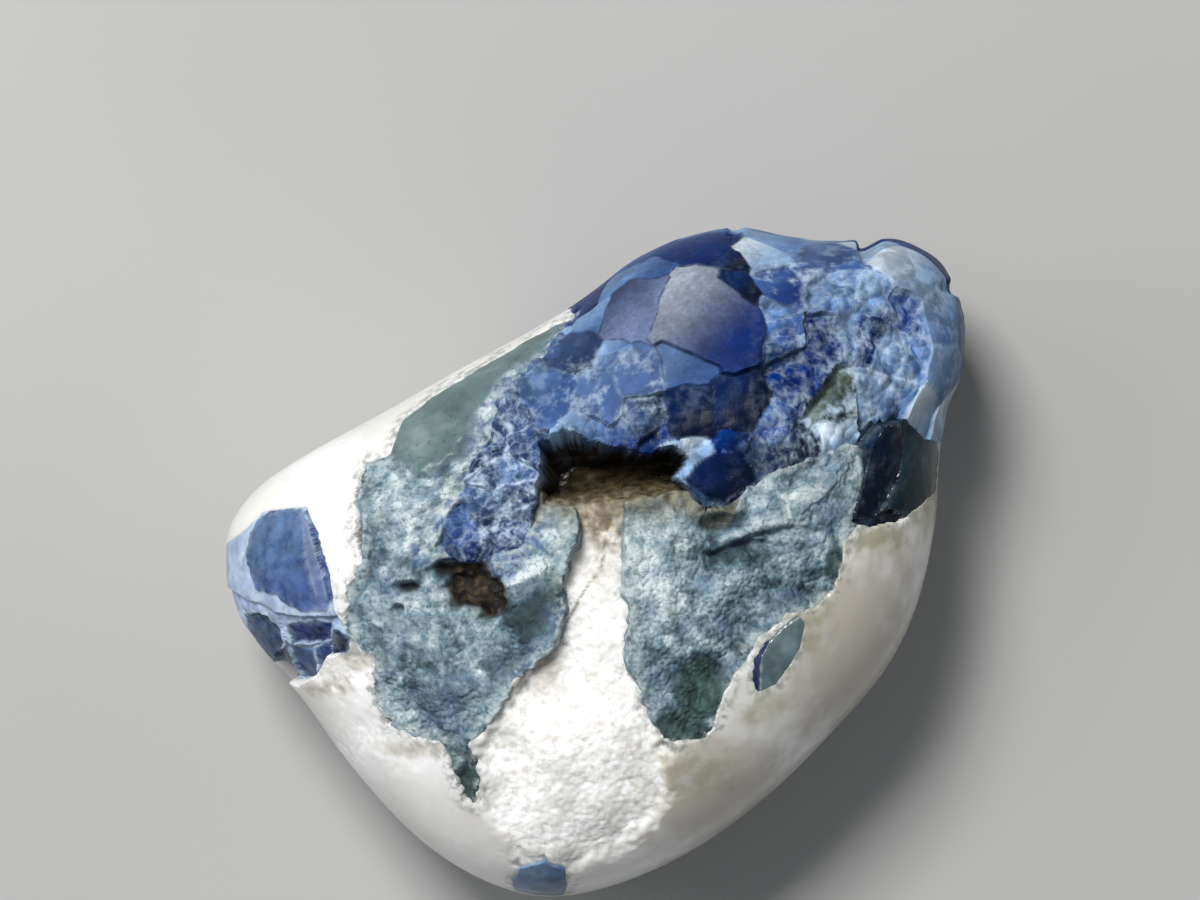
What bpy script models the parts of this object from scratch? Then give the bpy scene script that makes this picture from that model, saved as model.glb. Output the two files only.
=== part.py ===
"""Polished benitoite specimen: a tumbled pebble of white natrolite with blue benitoite crystals and
grey-green schist, lying on its ground back. The face that shows the crystals looks up, along +Z.

Everything is modelled in millimetres and scaled to metres at the end. X runs to the right and Y up
the stone as it is looked at from above, and the origin is at the middle of the face it rests on.
"""

import math
import random

import bmesh
import bpy
import numpy as np
from mathutils import Matrix, Vector, noise

MM = 0.001

# Driving dimensions of the tumbled pebble, in millimetres
RIM_HEIGHT = 5.6
DOME_HEIGHT = 7.6
BACK_DEPTH = 6.2
ROUNDNESS = 2.5
PEBBLE_MIDDLE = (0.2, 0.0)
GAP = 0.25

# Outline of the pebble seen from above
SILHOUETTE = (
    (-14.0, -0.3), (-13.8, 1.3), (-12.8, 2.7), (-11.1, 3.9), (-8.0, 5.6), (-5.2, 7.2),
    (-2.6, 8.6), (-0.9, 9.6), (0.2, 10.4), (1.7, 11.5), (3.6, 12.3), (5.4, 12.6),
    (7.5, 12.2), (9.9, 12.1), (11.6, 12.1), (12.9, 11.4), (13.6, 10.2), (14.0, 8.9),
    (13.9, 7.2), (13.3, 5.7), (13.0, 4.0), (12.8, 1.2), (12.1, -1.8), (10.9, -4.2),
    (9.0, -6.4), (6.7, -8.7), (3.9, -10.8), (0.9, -12.2), (-1.9, -12.7), (-4.4, -12.0),
    (-6.8, -10.4), (-9.2, -7.8), (-11.1, -5.2), (-12.8, -3.3), (-13.7, -1.9),
)

# Outlines of the minerals where they meet on the face, each going round its own patch
CLUSTER = (
    (-2.1, 10.2), (-0.7, 9.3), (-1.8, 7.9), (-2.8, 7.1), (-3.7, 6.1), (-4.2, 4.8),
    (-4.7, 3.4), (-5.4, 2.1), (-6.1, 0.6), (-4.7, 0.0), (-2.8, 0.5), (-2.2, 2.1),
    (-1.9, 3.8), (-1.8, 4.8), (-0.2, 5.0), (1.5, 4.5), (3.3, 4.3), (3.4, 3.0),
    (4.0, 2.1), (5.6, 2.4), (6.9, 3.5), (9.6, 4.5), (10.1, 5.1), (11.5, 5.6),
    (12.3, 4.6), (13.1, 4.5), (16.0, 4.5), (16.0, 14.5), (-2.1, 14.5),
)
SCHIST_LEFT = (
    (-0.8, 9.2), (-2.6, 8.3), (-4.4, 7.2), (-6.1, 6.2), (-7.2, 5.3), (-7.6, 4.0),
    (-8.6, 3.7), (-8.9, 2.3), (-8.7, 0.0), (-9.2, -1.2), (-9.2, -2.7), (-8.2, -3.5),
    (-8.2, -4.9), (-7.8, -6.1), (-5.8, -6.7), (-5.4, -7.2), (-5.0, -9.0), (-4.5, -9.2),
    (-4.3, -8.0), (-4.6, -6.8), (-3.9, -5.9), (-3.0, -4.4), (-1.5, -3.0), (-1.2, -1.9),
    (-1.6, -0.5), (-0.9, 1.5), (-1.9, 2.0), (-2.3, 0.4), (-4.7, -0.1), (-6.2, 0.6),
    (-5.5, 2.1), (-4.8, 3.4), (-4.3, 4.8), (-3.8, 6.1), (-2.9, 7.1), (-1.9, 7.9),
)
SCHIST_RIGHT = (
    (1.7, 2.0), (3.6, 2.0), (5.6, 2.2), (7.0, 3.4), (9.5, 4.3), (10.0, 3.5),
    (9.4, 1.7), (9.1, 0.2), (9.0, -0.9), (8.1, -1.7), (7.1, -1.9), (6.0, -2.9),
    (5.5, -3.8), (4.8, -4.8), (4.1, -6.6), (2.5, -6.6), (1.7, -5.0), (1.2, -3.4),
    (1.3, -1.5), (1.2, 0.6),
)
LEFT_CRYSTAL = (
    (-13.1, 1.2), (-12.5, 1.8), (-11.5, 2.0), (-10.7, 2.0), (-10.3, 1.0), (-9.8, -0.5),
    (-9.8, -1.7), (-9.9, -3.0), (-10.5, -4.2), (-11.2, -4.6), (-11.9, -4.6), (-14.5, -2.9),
    (-13.8, -1.5), (-13.4, 0.2),
)
DARK_CRYSTAL = (
    (9.5, 1.5), (10.1, 3.4), (10.3, 4.3), (10.8, 4.9), (11.6, 5.3), (12.3, 4.4),
    (15.5, 4.3), (15.5, 3.0), (12.4, 2.3), (11.4, 1.5), (10.3, 1.3),
)
LOWER_CRYSTAL = (
    (5.9, -3.8), (6.3, -3.2), (7.3, -2.3), (7.9, -2.0), (7.6, -2.8), (7.0, -3.9),
    (6.3, -4.5), (5.8, -4.5),
)
FOOT_CRYSTAL = (
    (-3.1, -11.9), (-2.8, -11.5), (-1.9, -11.2), (-1.2, -11.5), (-1.1, -12.1),
    (-1.6, -13.5), (-2.8, -13.5),
)

# Rough natrolite channel that runs down the face from the cavity under the crystals
CHANNEL = (
    (-1.9, 2.6), (1.7, 2.6), (1.2, 0.0), (1.0, -3.0), (2.2, -6.7), (2.5, -9.0),
    (1.1, -10.9), (-1.3, -11.7), (-3.3, -10.9), (-4.3, -9.0), (-4.7, -6.7), (-2.8, -4.8),
    (-1.3, -2.2), (-1.3, 0.0),
)
CHANNEL_BANK = 0.9
CHANNEL_ENDS = (-11.7, -6.0, -1.0, 2.3)
CHANNEL_DEPTHS = (0.1, 0.45, 1.2, 2.6)

# Cavity that runs in under the crystals: middle and half sizes, in the natrolite and in the crystals
CAVITY = ((0.7, 3.8, 10.6), (2.9, 2.3, 3.6))
CAVITY_UNDER_CRYSTALS = ((0.7, 4.2, 9.6), (2.8, 2.4, 2.9))

# Pits in the schist as x, y, half width, half height, depth
PITS = (
    (-4.3, -1.3, 1.1, 0.9, 2.2),
    (-7.0, -0.9, 0.6, 0.3, 1.0),
    (-5.2, -0.3, 0.6, 0.3, 0.9),
    (4.9, 1.8, 0.9, 0.3, 0.9),
    (4.5, 0.2, 0.7, 0.3, 0.8),
    (6.2, 0.7, 1.3, 0.3, 0.6),
)
# Ledges in the schist as two ends, half width, height
LEDGES = (
    ((-3.4, -1.1), (-1.9, -0.3), 0.25, 0.5),
    ((4.2, 1.0), (6.7, 1.6), 0.30, 0.5),
    ((6.8, 2.6), (9.2, 3.2), 0.35, 0.4),
    ((-8.0, 3.4), (-5.0, 2.8), 0.35, 0.2),
)

# Benitoite crystals on the face as x, y, size, depth below the polish. A polished one is at 0.
FACE_CRYSTALS = (
    (4.1, 9.0, 2.45, -0.05), (1.3, 9.5, 1.35, 0.0), (4.3, 11.7, 1.15, 0.0),
    (0.2, 9.9, 0.6, 0.05), (-0.8, 8.6, 0.6, 0.1), (2.0, 11.2, 0.8, 0.05),
    (6.2, 11.6, 1.0, 0.0), (6.9, 10.4, 0.8, 0.3), (-0.7, 7.8, 1.0, 0.05),
    (0.1, 6.1, 0.95, 0.1), (-1.9, 6.3, 1.0, 0.1), (1.7, 7.1, 1.15, 0.05),
    (1.6, 5.3, 0.8, 0.45), (3.6, 7.3, 0.75, 0.15), (3.6, 5.6, 0.95, 0.5),
    (5.5, 5.8, 1.25, 0.45), (4.8, 3.1, 1.0, 0.8), (3.8, 4.2, 0.45, 0.7),
    (6.9, 5.5, 0.95, 0.9), (8.1, 7.3, 1.0, 1.2), (7.1, 8.5, 0.8, 0.6),
    (8.6, 8.7, 0.65, 1.1), (9.6, 8.7, 0.6, 1.3), (10.5, 8.7, 0.6, 1.3),
    (9.1, 6.2, 0.8, 1.5), (9.2, 4.9, 0.7, 0.9), (11.5, 7.9, 1.0, 0.9),
    (10.9, 6.3, 1.0, 1.0), (13.1, 9.1, 1.0, 0.0), (13.3, 7.4, 0.9, 0.0),
    (12.3, 5.6, 0.9, 0.2), (11.8, 11.2, 1.3, -0.1), (8.8, 11.6, 1.3, 0.1),
    (9.0, 10.3, 0.95, 0.35), (10.7, 10.2, 0.7, 0.3), (-3.1, 5.6, 0.7, 0.5),
    (-2.8, 4.6, 0.5, 0.6), (-3.4, 3.5, 0.7, 0.8), (-4.0, 2.2, 0.7, 0.9),
    (-2.9, 1.8, 0.6, 1.0), (-4.8, 1.1, 0.65, 0.9), (-3.5, 0.9, 0.55, 1.1),
    (5.2, 4.4, 0.55, 0.8), (6.2, 4.0, 0.6, 0.9), (7.7, 4.5, 0.65, 1.0),
)
SIDE_CRYSTALS = 26
SIDE_CRYSTAL_SIZES = (1.4, 2.1)
SIDE_CRYSTAL_DEPTHS = (0.0, 0.3)
SIDE_TRIES = 6000
SIDE_STEEPEST = 0.45
SIDE_LOWEST = 0.6
SIDE_OVERHANG = 0.6
SIDE_SPACING = 0.8

# How a crystal of the cluster is cut, in millimetres or as shares of its size
CRACK = 0.12
CRYSTAL_ROOT = 2.2
CRYSTAL_REACH = 1.5
NEIGHBOUR_REACH = 3.2
CORE_INSET = 0.75
POLISHED = 0.2
ROUGH_TILT = 0.32
CORNER_CUTS = 2
CORNER_CUT_PLACE = 0.42
CORNER_CUT_RISE = 1.1
CLUSTER_SEED = 7

# Broken hollow in the right of the cluster: x, y, half width, half height, depth
CLUSTER_HOLLOW = (9.0, 7.0, 3.6, 2.6, 1.2)

PEBBLE_FINENESS = 4
CORE_FINENESS = 3
SPLINE_STEPS = 6
SURFACE_STEP = 0.02
WELD = 0.002

COLOURS = {
    "natrolite": ((0.83, 0.83, 0.80), 0.28),
    "benitoite": ((0.12, 0.22, 0.60), 0.18),
    "dark_benitoite": ((0.03, 0.06, 0.10), 0.12),
    "schist": ((0.27, 0.36, 0.37), 0.70),
}


def smooth_closed_curve(points, steps):
    """Catmull-Rom curve through the points and back to the first."""
    ring = np.array(points, float)
    found = []
    for i in range(len(ring)):
        before, start, end, after = (ring[(i + k) % len(ring)] for k in (-1, 0, 1, 2))
        for step in range(steps):
            t = step / steps
            found.append(
                0.5
                * (
                    2 * start
                    + (end - before) * t
                    + (2 * before - 5 * start + 4 * end - after) * t**2
                    + (3 * start - before - 3 * end + after) * t**3
                )
            )
    return np.array(found)


def polar_outline():
    """Angles and radii of the silhouette about the pebble's middle, in rising order of angle."""
    arms = smooth_closed_curve(SILHOUETTE, SPLINE_STEPS) - PEBBLE_MIDDLE
    angles = np.arctan2(arms[:, 1], arms[:, 0])
    order = np.argsort(angles)
    return angles[order], np.hypot(arms[:, 0], arms[:, 1])[order]


OUTLINE_ANGLES, OUTLINE_RADII = polar_outline()


def outline_radius(angle):
    return np.interp(angle, OUTLINE_ANGLES, OUTLINE_RADII, period=2 * math.pi)


def polished_height(x, y, inset=0.0):
    """Height of the polished face over a point of the plan, and the rim's height outside it."""
    arm_x, arm_y = x - PEBBLE_MIDDLE[0], y - PEBBLE_MIDDLE[1]
    share = np.hypot(arm_x, arm_y) / (outline_radius(np.arctan2(arm_y, arm_x)) - inset)
    rise = np.clip(1 - share**ROUNDNESS, 0, 1) ** (1 / ROUNDNESS)
    return RIM_HEIGHT + (DOME_HEIGHT - inset) * rise


def pebble_points(directions, inset=0.0):
    """Maps directions on a unit sphere to the tumbled stone, which is a superellipsoid in section."""
    x, y, z = directions.T
    power = 2 / ROUNDNESS
    share = np.hypot(x, y) ** power
    angle = np.arctan2(y, x)
    reach = (outline_radius(angle) - inset) * share
    lift = np.abs(z) ** power * np.where(z > 0, DOME_HEIGHT - inset, inset - BACK_DEPTH)
    return np.column_stack(
        [
            PEBBLE_MIDDLE[0] + reach * np.cos(angle),
            PEBBLE_MIDDLE[1] + reach * np.sin(angle),
            RIM_HEIGHT + lift,
        ]
    )


def inside_distance(x, y, outline):
    """Distance from each point to an outline, positive inside it."""
    nearest = np.full(np.shape(x), np.inf)
    inside = np.zeros(np.shape(x), bool)
    ring = np.array(outline, float)
    for (ax, ay), (bx, by) in zip(ring, np.roll(ring, -1, axis=0)):
        run_x, run_y = bx - ax, by - ay
        along = np.clip(((x - ax) * run_x + (y - ay) * run_y) / (run_x**2 + run_y**2), 0, 1)
        nearest = np.minimum(nearest, np.hypot(x - ax - along * run_x, y - ay - along * run_y))
        if ay != by:
            crosses = (ay > y) != (by > y)
            inside ^= crosses & (x < ax + (y - ay) * run_x / run_y)
    return np.where(inside, nearest, -nearest)


def smooth_step(value):
    t = np.clip(value, 0, 1)
    return t * t * (3 - 2 * t)


def lumps(x, y, size, shift=0.0):
    """Rounded random lumps of about the given size, from -1 to 1."""
    return np.array(
        [noise.noise(Vector((u / size + shift, v / size, shift))) for u, v in zip(x, y)]
    )


def natrolite_depth(x, y):
    """How far the natrolite lies below the polish: not at all, except in the rough channel."""
    bank = smooth_step(inside_distance(x, y, CHANNEL) / CHANNEL_BANK + 0.3)
    floor = np.interp(y, CHANNEL_ENDS, CHANNEL_DEPTHS)
    rough = 0.25 * lumps(x, y, 1.1) + 0.12 * lumps(x, y, 0.5, 5.0)
    return bank * (floor + rough)


def schist_depth(x, y):
    """How far the schist lies below the polish, with its lumps, pits and ledges."""
    depth = 0.35 + 0.35 * lumps(x, y, 2.0, 3.0) + 0.25 * lumps(x, y, 0.9, 9.0)
    for px, py, half_width, half_height, pit in PITS:
        away = np.hypot((x - px) / half_width, (y - py) / half_height)
        depth = depth + pit * (1 - smooth_step(away / 1.5))
    for (ax, ay), (bx, by), half_width, height in LEDGES:
        run_x, run_y = bx - ax, by - ay
        along = np.clip(((x - ax) * run_x + (y - ay) * run_y) / (run_x**2 + run_y**2), 0, 1)
        away = np.hypot(x - ax - along * run_x, y - ay - along * run_y)
        depth = depth - height * (1 - smooth_step(away / half_width / 2))
    return np.maximum(depth, 0.0)


def hollow_depth(x, y):
    """Depth of the broken hollow in the cluster."""
    px, py, half_width, half_height, depth = CLUSTER_HOLLOW
    away = np.hypot((x - px) / half_width, (y - py) / half_height)
    return depth * (1 - smooth_step((away - 0.55) / 0.45))


def cut_away(maker, place, way):
    """Removes what lies beyond a plane and closes the cut with one face."""
    cut = bmesh.ops.bisect_plane(
        maker,
        geom=maker.verts[:] + maker.edges[:] + maker.faces[:],
        plane_co=place,
        plane_no=way,
        clear_outer=True,
    )
    rim = [edge for edge in cut["geom_cut"] if isinstance(edge, bmesh.types.BMEdge)]
    if rim:
        bmesh.ops.contextual_create(maker, geom=rim)


def new_object(name, mesh_maker):
    mesh = bpy.data.meshes.new(name)
    mesh_maker.normal_update()
    mesh_maker.to_mesh(mesh)
    mesh_maker.free()
    made = bpy.data.objects.new(name, mesh)
    bpy.context.scene.collection.objects.link(made)
    return made


def refine(maker, wanted):
    """Halves the edges of the wanted faces of a unit sphere."""
    edges = {edge for face in maker.faces if wanted(face) for edge in face.edges}
    bmesh.ops.subdivide_edges(maker, edges=list(edges), cuts=1, use_grid_fill=True)
    bmesh.ops.triangulate(maker, faces=maker.faces[:])
    for vertex in maker.verts:
        vertex.co.normalize()


def pebble(name, depth_function, inset=0.0, detail=None, passes=2, fineness=PEBBLE_FINENESS):
    """The whole tumbled stone, ground flat at its back, with one mineral's relief on its face."""

    def in_detail(face):
        middle = face.calc_center_median().normalized()
        x, y, _ = pebble_points(np.array([middle])).T
        return middle.z > 0 and inside_distance(x, y, detail)[0] > 0

    maker = bmesh.new()
    bmesh.ops.create_icosphere(maker, subdivisions=fineness, radius=1.0)
    if detail:
        for _ in range(passes):
            refine(maker, in_detail)
    directions = np.array([v.co.normalized() for v in maker.verts])
    points = pebble_points(directions, inset)
    facing_up = smooth_step((directions[:, 2] - 0.12) / 0.25)
    points[:, 2] -= depth_function(points[:, 0], points[:, 1]) * facing_up
    for vertex, point in zip(maker.verts, points):
        vertex.co = point
    cut_away(maker, (0, 0, 0), (0, 0, -1))
    return new_object(name, maker)


def moved_outline(outline, distance):
    """The outline moved outwards by a distance, or inwards by a negative one, with mitred corners."""
    ring = np.array(outline, float)
    ahead = np.roll(ring, -1, axis=0) - ring
    ahead /= np.linalg.norm(ahead, axis=1)[:, None]
    turning = np.sum(ring[:, 0] * np.roll(ring[:, 1], -1) - np.roll(ring[:, 0], -1) * ring[:, 1])
    outward = np.column_stack([ahead[:, 1], -ahead[:, 0]]) * math.copysign(1, turning)
    before = np.roll(outward, 1, axis=0)
    middle = outward + before
    middle /= np.maximum(np.linalg.norm(middle, axis=1), 0.3)[:, None]
    stretch = 1 / np.maximum(np.sum(middle * outward, axis=1), 0.5)
    return ring + middle * (stretch * distance)[:, None]


def prism(name, outline, levels):
    """A closed prism through rings of the outline. Each level is height, x shift, y shift, scale."""
    ring = np.array(outline, float)
    middle = ring.mean(axis=0)
    maker = bmesh.new()
    rings = []
    for height, shift_x, shift_y, scale in levels:
        points = middle + (ring - middle) * scale + (shift_x, shift_y)
        rings.append([maker.verts.new((x, y, height)) for x, y in points])
    maker.faces.new(rings[0])
    maker.faces.new(rings[-1])
    for low, high in zip(rings, rings[1:]):
        for i in range(len(low)):
            j = (i + 1) % len(low)
            maker.faces.new((low[i], low[j], high[j], high[i]))
    bmesh.ops.recalc_face_normals(maker, faces=maker.faces[:])
    return new_object(name, maker)


def replace_mesh(target, mesh):
    old = target.data
    target.data = mesh
    bpy.data.meshes.remove(old)


def combine(target, other, operation):
    """Applies a Boolean of the target with another object, which is then removed."""
    modifier = target.modifiers.new("combine", "BOOLEAN")
    modifier.operation = operation
    modifier.solver = "EXACT"
    modifier.object = other
    bpy.context.view_layer.update()
    evaluated = target.evaluated_get(bpy.context.evaluated_depsgraph_get())
    mesh = bpy.data.meshes.new_from_object(evaluated)
    target.modifiers.remove(modifier)
    replace_mesh(target, mesh)
    bpy.data.objects.remove(other)
    return target


def keep_largest_island(target):
    """Removes crumbs that a cut leaves loose."""
    maker = bmesh.new()
    maker.from_mesh(target.data)
    bmesh.ops.remove_doubles(maker, verts=maker.verts[:], dist=WELD)
    unseen = set(maker.faces)
    islands = []
    while unseen:
        waiting = [unseen.pop()]
        island = []
        while waiting:
            face = waiting.pop()
            island.append(face)
            for edge in face.edges:
                for beside in edge.link_faces:
                    if beside in unseen:
                        unseen.remove(beside)
                        waiting.append(beside)
        islands.append(island)
    islands.sort(key=lambda island: sum(face.calc_area() for face in island))
    crumbs = [face for island in islands[:-1] for face in island]
    bmesh.ops.delete(maker, geom=crumbs, context="FACES")
    maker.to_mesh(target.data)
    maker.free()


def surface_along(way):
    """Point of the tumbled stone along a direction of the unit sphere, and its outward normal."""
    side = way.orthogonal().normalized() * SURFACE_STEP
    ways = [way, (way + side).normalized(), (way + way.cross(side)).normalized()]
    spot, beside, above = (Vector(point) for point in pebble_points(np.array(ways)))
    return spot, (beside - spot).cross(above - spot).normalized()


def surface_at(x, y):
    """Point of the polished face over x, y, and its outward normal."""
    spots = np.array([(x, y), (x + SURFACE_STEP, y), (x, y + SURFACE_STEP)])
    middle, beside, above = polished_height(spots[:, 0], spots[:, 1])
    return Vector((x, y, middle)), Vector((middle - beside, middle - above, SURFACE_STEP)).normalized()


def side_seed(chooser, seeds):
    """A try at one more crystal on the edge or the back of the cluster, or nothing if it is crowded."""
    way = Vector([chooser.gauss(0, 1) for _ in range(3)]).normalized()
    size = chooser.uniform(*SIDE_CRYSTAL_SIZES)
    drop = chooser.uniform(*SIDE_CRYSTAL_DEPTHS)
    spot, normal = surface_along(way)
    overhang = -inside_distance(np.array([spot.x]), np.array([spot.y]), CLUSTER)[0]
    if way.z > SIDE_STEEPEST or spot.z < SIDE_LOWEST or overhang > SIDE_OVERHANG:
        return []
    if any((spot - other).length < SIDE_SPACING * (size + near) for other, _, near, _ in seeds):
        return []
    return [(spot, normal, size, drop)]


def crystal_seeds():
    """Place, normal, size and depth of every crystal of the cluster."""
    chooser = random.Random(CLUSTER_SEED)
    seeds = [(*surface_at(x, y), size, drop) for x, y, size, drop in FACE_CRYSTALS]
    wanted = len(seeds) + SIDE_CRYSTALS
    for _ in range(SIDE_TRIES):
        if len(seeds) < wanted:
            seeds += side_seed(chooser, seeds)
    return seeds


def rough_planes(top, turn, size, chooser):
    """The broken top of a crystal below the polish: one leaning face and cut corners."""
    lean = [chooser.uniform(-ROUGH_TILT, ROUGH_TILT) for _ in range(2)]
    planes = [(top, turn @ Vector((*lean, 1)).normalized())]
    for _ in range(CORNER_CUTS):
        angle = chooser.uniform(0, 2 * math.pi)
        out = turn @ Vector((math.cos(angle), math.sin(angle), CORNER_CUT_RISE)).normalized()
        planes.append((top + out * size * CORNER_CUT_PLACE, out))
    return planes


def crystal_planes(index, seeds):
    """Planes half way to each neighbour, in the ratio of their sizes, less half a crack."""
    spot, _, size, _ = seeds[index]
    planes = []
    for other_index, (other, _, near, _) in enumerate(seeds):
        apart = other - spot
        if other_index == index or apart.length > NEIGHBOUR_REACH * max(size, near) + 1:
            continue
        way = apart.normalized()
        planes.append((spot + apart * size / (size + near) - way * CRACK / 2, way))
    return planes


def crystal_cell(maker, index, seeds, chooser):
    """One crystal: a block cut by flat faces half way to each neighbour and rooted in the core."""
    spot, normal, size, drop = seeds[index]
    top = spot - normal * drop
    turn = normal.to_track_quat("Z", "Y")
    reach = size * CRYSTAL_REACH
    cell = bmesh.new()
    bmesh.ops.create_cube(cell, size=2.0)
    bmesh.ops.scale(cell, verts=cell.verts, vec=(reach, reach, (CRYSTAL_ROOT + reach) / 2))
    bmesh.ops.translate(cell, verts=cell.verts, vec=(0, 0, (reach - CRYSTAL_ROOT) / 2))
    bmesh.ops.rotate(cell, verts=cell.verts, matrix=turn.to_matrix())
    bmesh.ops.translate(cell, verts=cell.verts, vec=top)
    planes = crystal_planes(index, seeds)
    if drop > POLISHED:
        planes += rough_planes(top, turn, size, chooser)
    for place, way in planes:
        cut_away(cell, place, way)
    bmesh.ops.recalc_face_normals(cell, faces=cell.faces[:])
    mesh = bpy.data.meshes.new("cell")
    cell.to_mesh(mesh)
    cell.free()
    maker.from_mesh(mesh)
    bpy.data.meshes.remove(mesh)


def crystals():
    """All the crystals of the cluster, side by side with cracks between them."""
    chooser = random.Random(CLUSTER_SEED + 1)
    seeds = crystal_seeds()
    maker = bmesh.new()
    for index in range(len(seeds)):
        crystal_cell(maker, index, seeds, chooser)
    return new_object("crystals", maker)


def cavity(middle_point, half_sizes):
    """The hollow that runs in under the crystals, as a rough egg."""
    maker = bmesh.new()
    bmesh.ops.create_icosphere(maker, subdivisions=3, radius=1.0)
    for vertex in maker.verts:
        bulge = 1 + 0.14 * noise.noise(vertex.co * 1.7)
        vertex.co = Vector(
            middle + way * half * bulge
            for middle, way, half in zip(middle_point, vertex.co, half_sizes)
        )
    return new_object("cavity", maker)


# How each mineral's pocket goes down into the stone, as height, x shift, y shift, scale
TOP = 20.0
THROUGH = ((TOP, 0, 0, 1), (4.4, 0, 0, 1), (-1.0, 2.5, 4.5, 1))
INLAY_LEVELS = {
    "benitoite_cluster": (CLUSTER, THROUGH),
    "schist_left": (SCHIST_LEFT, ((TOP, 0, 0, 1), (8.2, 0, 0, 1))),
    "schist_right": (SCHIST_RIGHT, ((TOP, 0, 0, 1), (8.4, 0, 0, 1))),
    "benitoite_left": (LEFT_CRYSTAL, ((TOP, 0, 0, 1), (7.0, 0, 0, 1), (4.2, 0.7, 0.3, 0.55))),
    "dark_crystal": (DARK_CRYSTAL, ((TOP, 0, 0, 1), (6.5, 0, 0, 1), (4.6, -0.5, -0.2, 0.5))),
    "benitoite_lower": (LOWER_CRYSTAL, ((TOP, 0, 0, 1), (9.0, 0, 0, 1), (7.6, -0.2, 0.3, 0.5))),
    "benitoite_foot": (FOOT_CRYSTAL, ((TOP, 0, 0, 1), (7.8, 0, 0, 1), (7.0, 0, 0.3, 0.6))),
}


def pocket_cutter(name, moved_by, lower_by):
    """The prism of a mineral's pocket with its walls moved outwards and its floor lowered."""
    outline, levels = INLAY_LEVELS[name]
    *upper, (height, shift_x, shift_y, scale) = levels
    lowered = (*upper, (height - lower_by, shift_x, shift_y, scale))
    return prism(name + "_cutter", moved_outline(outline, moved_by), lowered)


def inlay(name, body):
    """A mineral's piece: its own relief of the stone, inside its pocket's walls and floor."""
    made = combine(body, pocket_cutter(name, -GAP / 2, -GAP / 2), "INTERSECT")
    made.name = made.data.name = name
    return made


def finish(target, colour):
    """Scales a piece to metres and gives it its material."""
    keep_largest_island(target)
    target.data.transform(Matrix.Scale(MM, 4))
    rgb, roughness = COLOURS[colour]
    material = bpy.data.materials.get(colour) or bpy.data.materials.new(colour)
    material.use_nodes = True
    shader = material.node_tree.nodes["Principled BSDF"]
    shader.inputs["Base Color"].default_value = (*rgb, 1)
    shader.inputs["Roughness"].default_value = roughness
    shader.inputs["Metallic"].default_value = 0.0
    target.data.materials.clear()
    target.data.materials.append(material)


def polished(x, y):
    """No relief: the stone's own polish."""
    return np.zeros(np.shape(x))


def broken_end(x, y):
    """The left crystal is polished above and broken away in steps below."""
    return 0.5 * smooth_step((-2.3 - y) / 0.25) + 0.4 * smooth_step((-3.2 - y) / 0.4)


def dark_break(x, y):
    """The dark crystal is chipped a little below the polish."""
    return 0.35 + 0.25 * lumps(x, y, 1.4, 2.0)


def build():
    for old in list(bpy.data.objects):
        bpy.data.objects.remove(old)

    matrix = pebble("natrolite_matrix", natrolite_depth, detail=CHANNEL)
    for name in INLAY_LEVELS:
        combine(matrix, pocket_cutter(name, GAP / 2, GAP / 2), "DIFFERENCE")
    combine(matrix, cavity(*CAVITY), "DIFFERENCE")
    finish(matrix, "natrolite")

    cluster = pebble("cluster", hollow_depth, CORE_INSET, fineness=CORE_FINENESS)
    combine(cluster, crystals(), "UNION")
    combine(cluster, pebble("polish", polished), "INTERSECT")
    inlay("benitoite_cluster", cluster)
    combine(cluster, cavity(*CAVITY_UNDER_CRYSTALS), "DIFFERENCE")
    finish(cluster, "benitoite")

    for name, relief, passes, colour in (
        ("schist_left", schist_depth, 2, "schist"),
        ("schist_right", schist_depth, 2, "schist"),
        ("benitoite_left", broken_end, 1, "benitoite"),
        ("dark_crystal", dark_break, 1, "dark_benitoite"),
        ("benitoite_lower", polished, 1, "benitoite"),
        ("benitoite_foot", polished, 1, "benitoite"),
    ):
        outline, _ = INLAY_LEVELS[name]
        finish(inlay(name, pebble(name, relief, detail=outline, passes=passes)), colour)


build()
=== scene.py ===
"""A polished benitoite specimen: a tumbled pebble of white natrolite with blue benitoite crystals and
grey-green schist. It lies on a pale table with its crystals up, and the camera looks down on it."""

import itertools
import math
import random

import bmesh
import bpy
import numpy as np
from mathutils import Matrix, Vector


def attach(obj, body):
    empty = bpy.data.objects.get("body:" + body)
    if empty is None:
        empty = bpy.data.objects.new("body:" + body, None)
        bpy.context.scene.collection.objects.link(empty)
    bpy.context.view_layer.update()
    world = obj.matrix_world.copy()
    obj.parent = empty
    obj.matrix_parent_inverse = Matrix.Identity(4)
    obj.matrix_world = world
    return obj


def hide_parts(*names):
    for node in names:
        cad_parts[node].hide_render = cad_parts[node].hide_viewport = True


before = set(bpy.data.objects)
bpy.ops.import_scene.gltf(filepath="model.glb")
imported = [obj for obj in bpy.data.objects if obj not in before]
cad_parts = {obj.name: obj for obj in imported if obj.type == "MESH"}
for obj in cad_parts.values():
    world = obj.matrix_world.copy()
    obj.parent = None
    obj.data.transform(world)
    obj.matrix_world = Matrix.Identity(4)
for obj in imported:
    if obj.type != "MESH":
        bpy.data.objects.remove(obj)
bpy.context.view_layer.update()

# The table and the studio light. The table is one pale disc, and the light is a soft key from above
# left, a fill from the left and a grey room.
MM = 0.001
PHOTO_MM_PER_PIXEL = 28.0 / 745
PHOTO_WIDTH = 1200
PHOTO_MIDDLE = (600 - 595.5, 561 - 450)
CAMERA_LENS = 200
SENSOR_WIDTH = 36
SHARP_HEIGHT = 7.5
TABLE_RADIUS = 700


def srgb(red, green, blue):
    """A colour as given, from 0 to 255, as the linear colour that the nodes take."""
    found = []
    for value in (red, green, blue):
        share = value / 255
        found.append(share / 12.92 if share <= 0.04045 else ((share + 0.055) / 1.055) ** 2.4)
    return (*found, 1.0)


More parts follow.
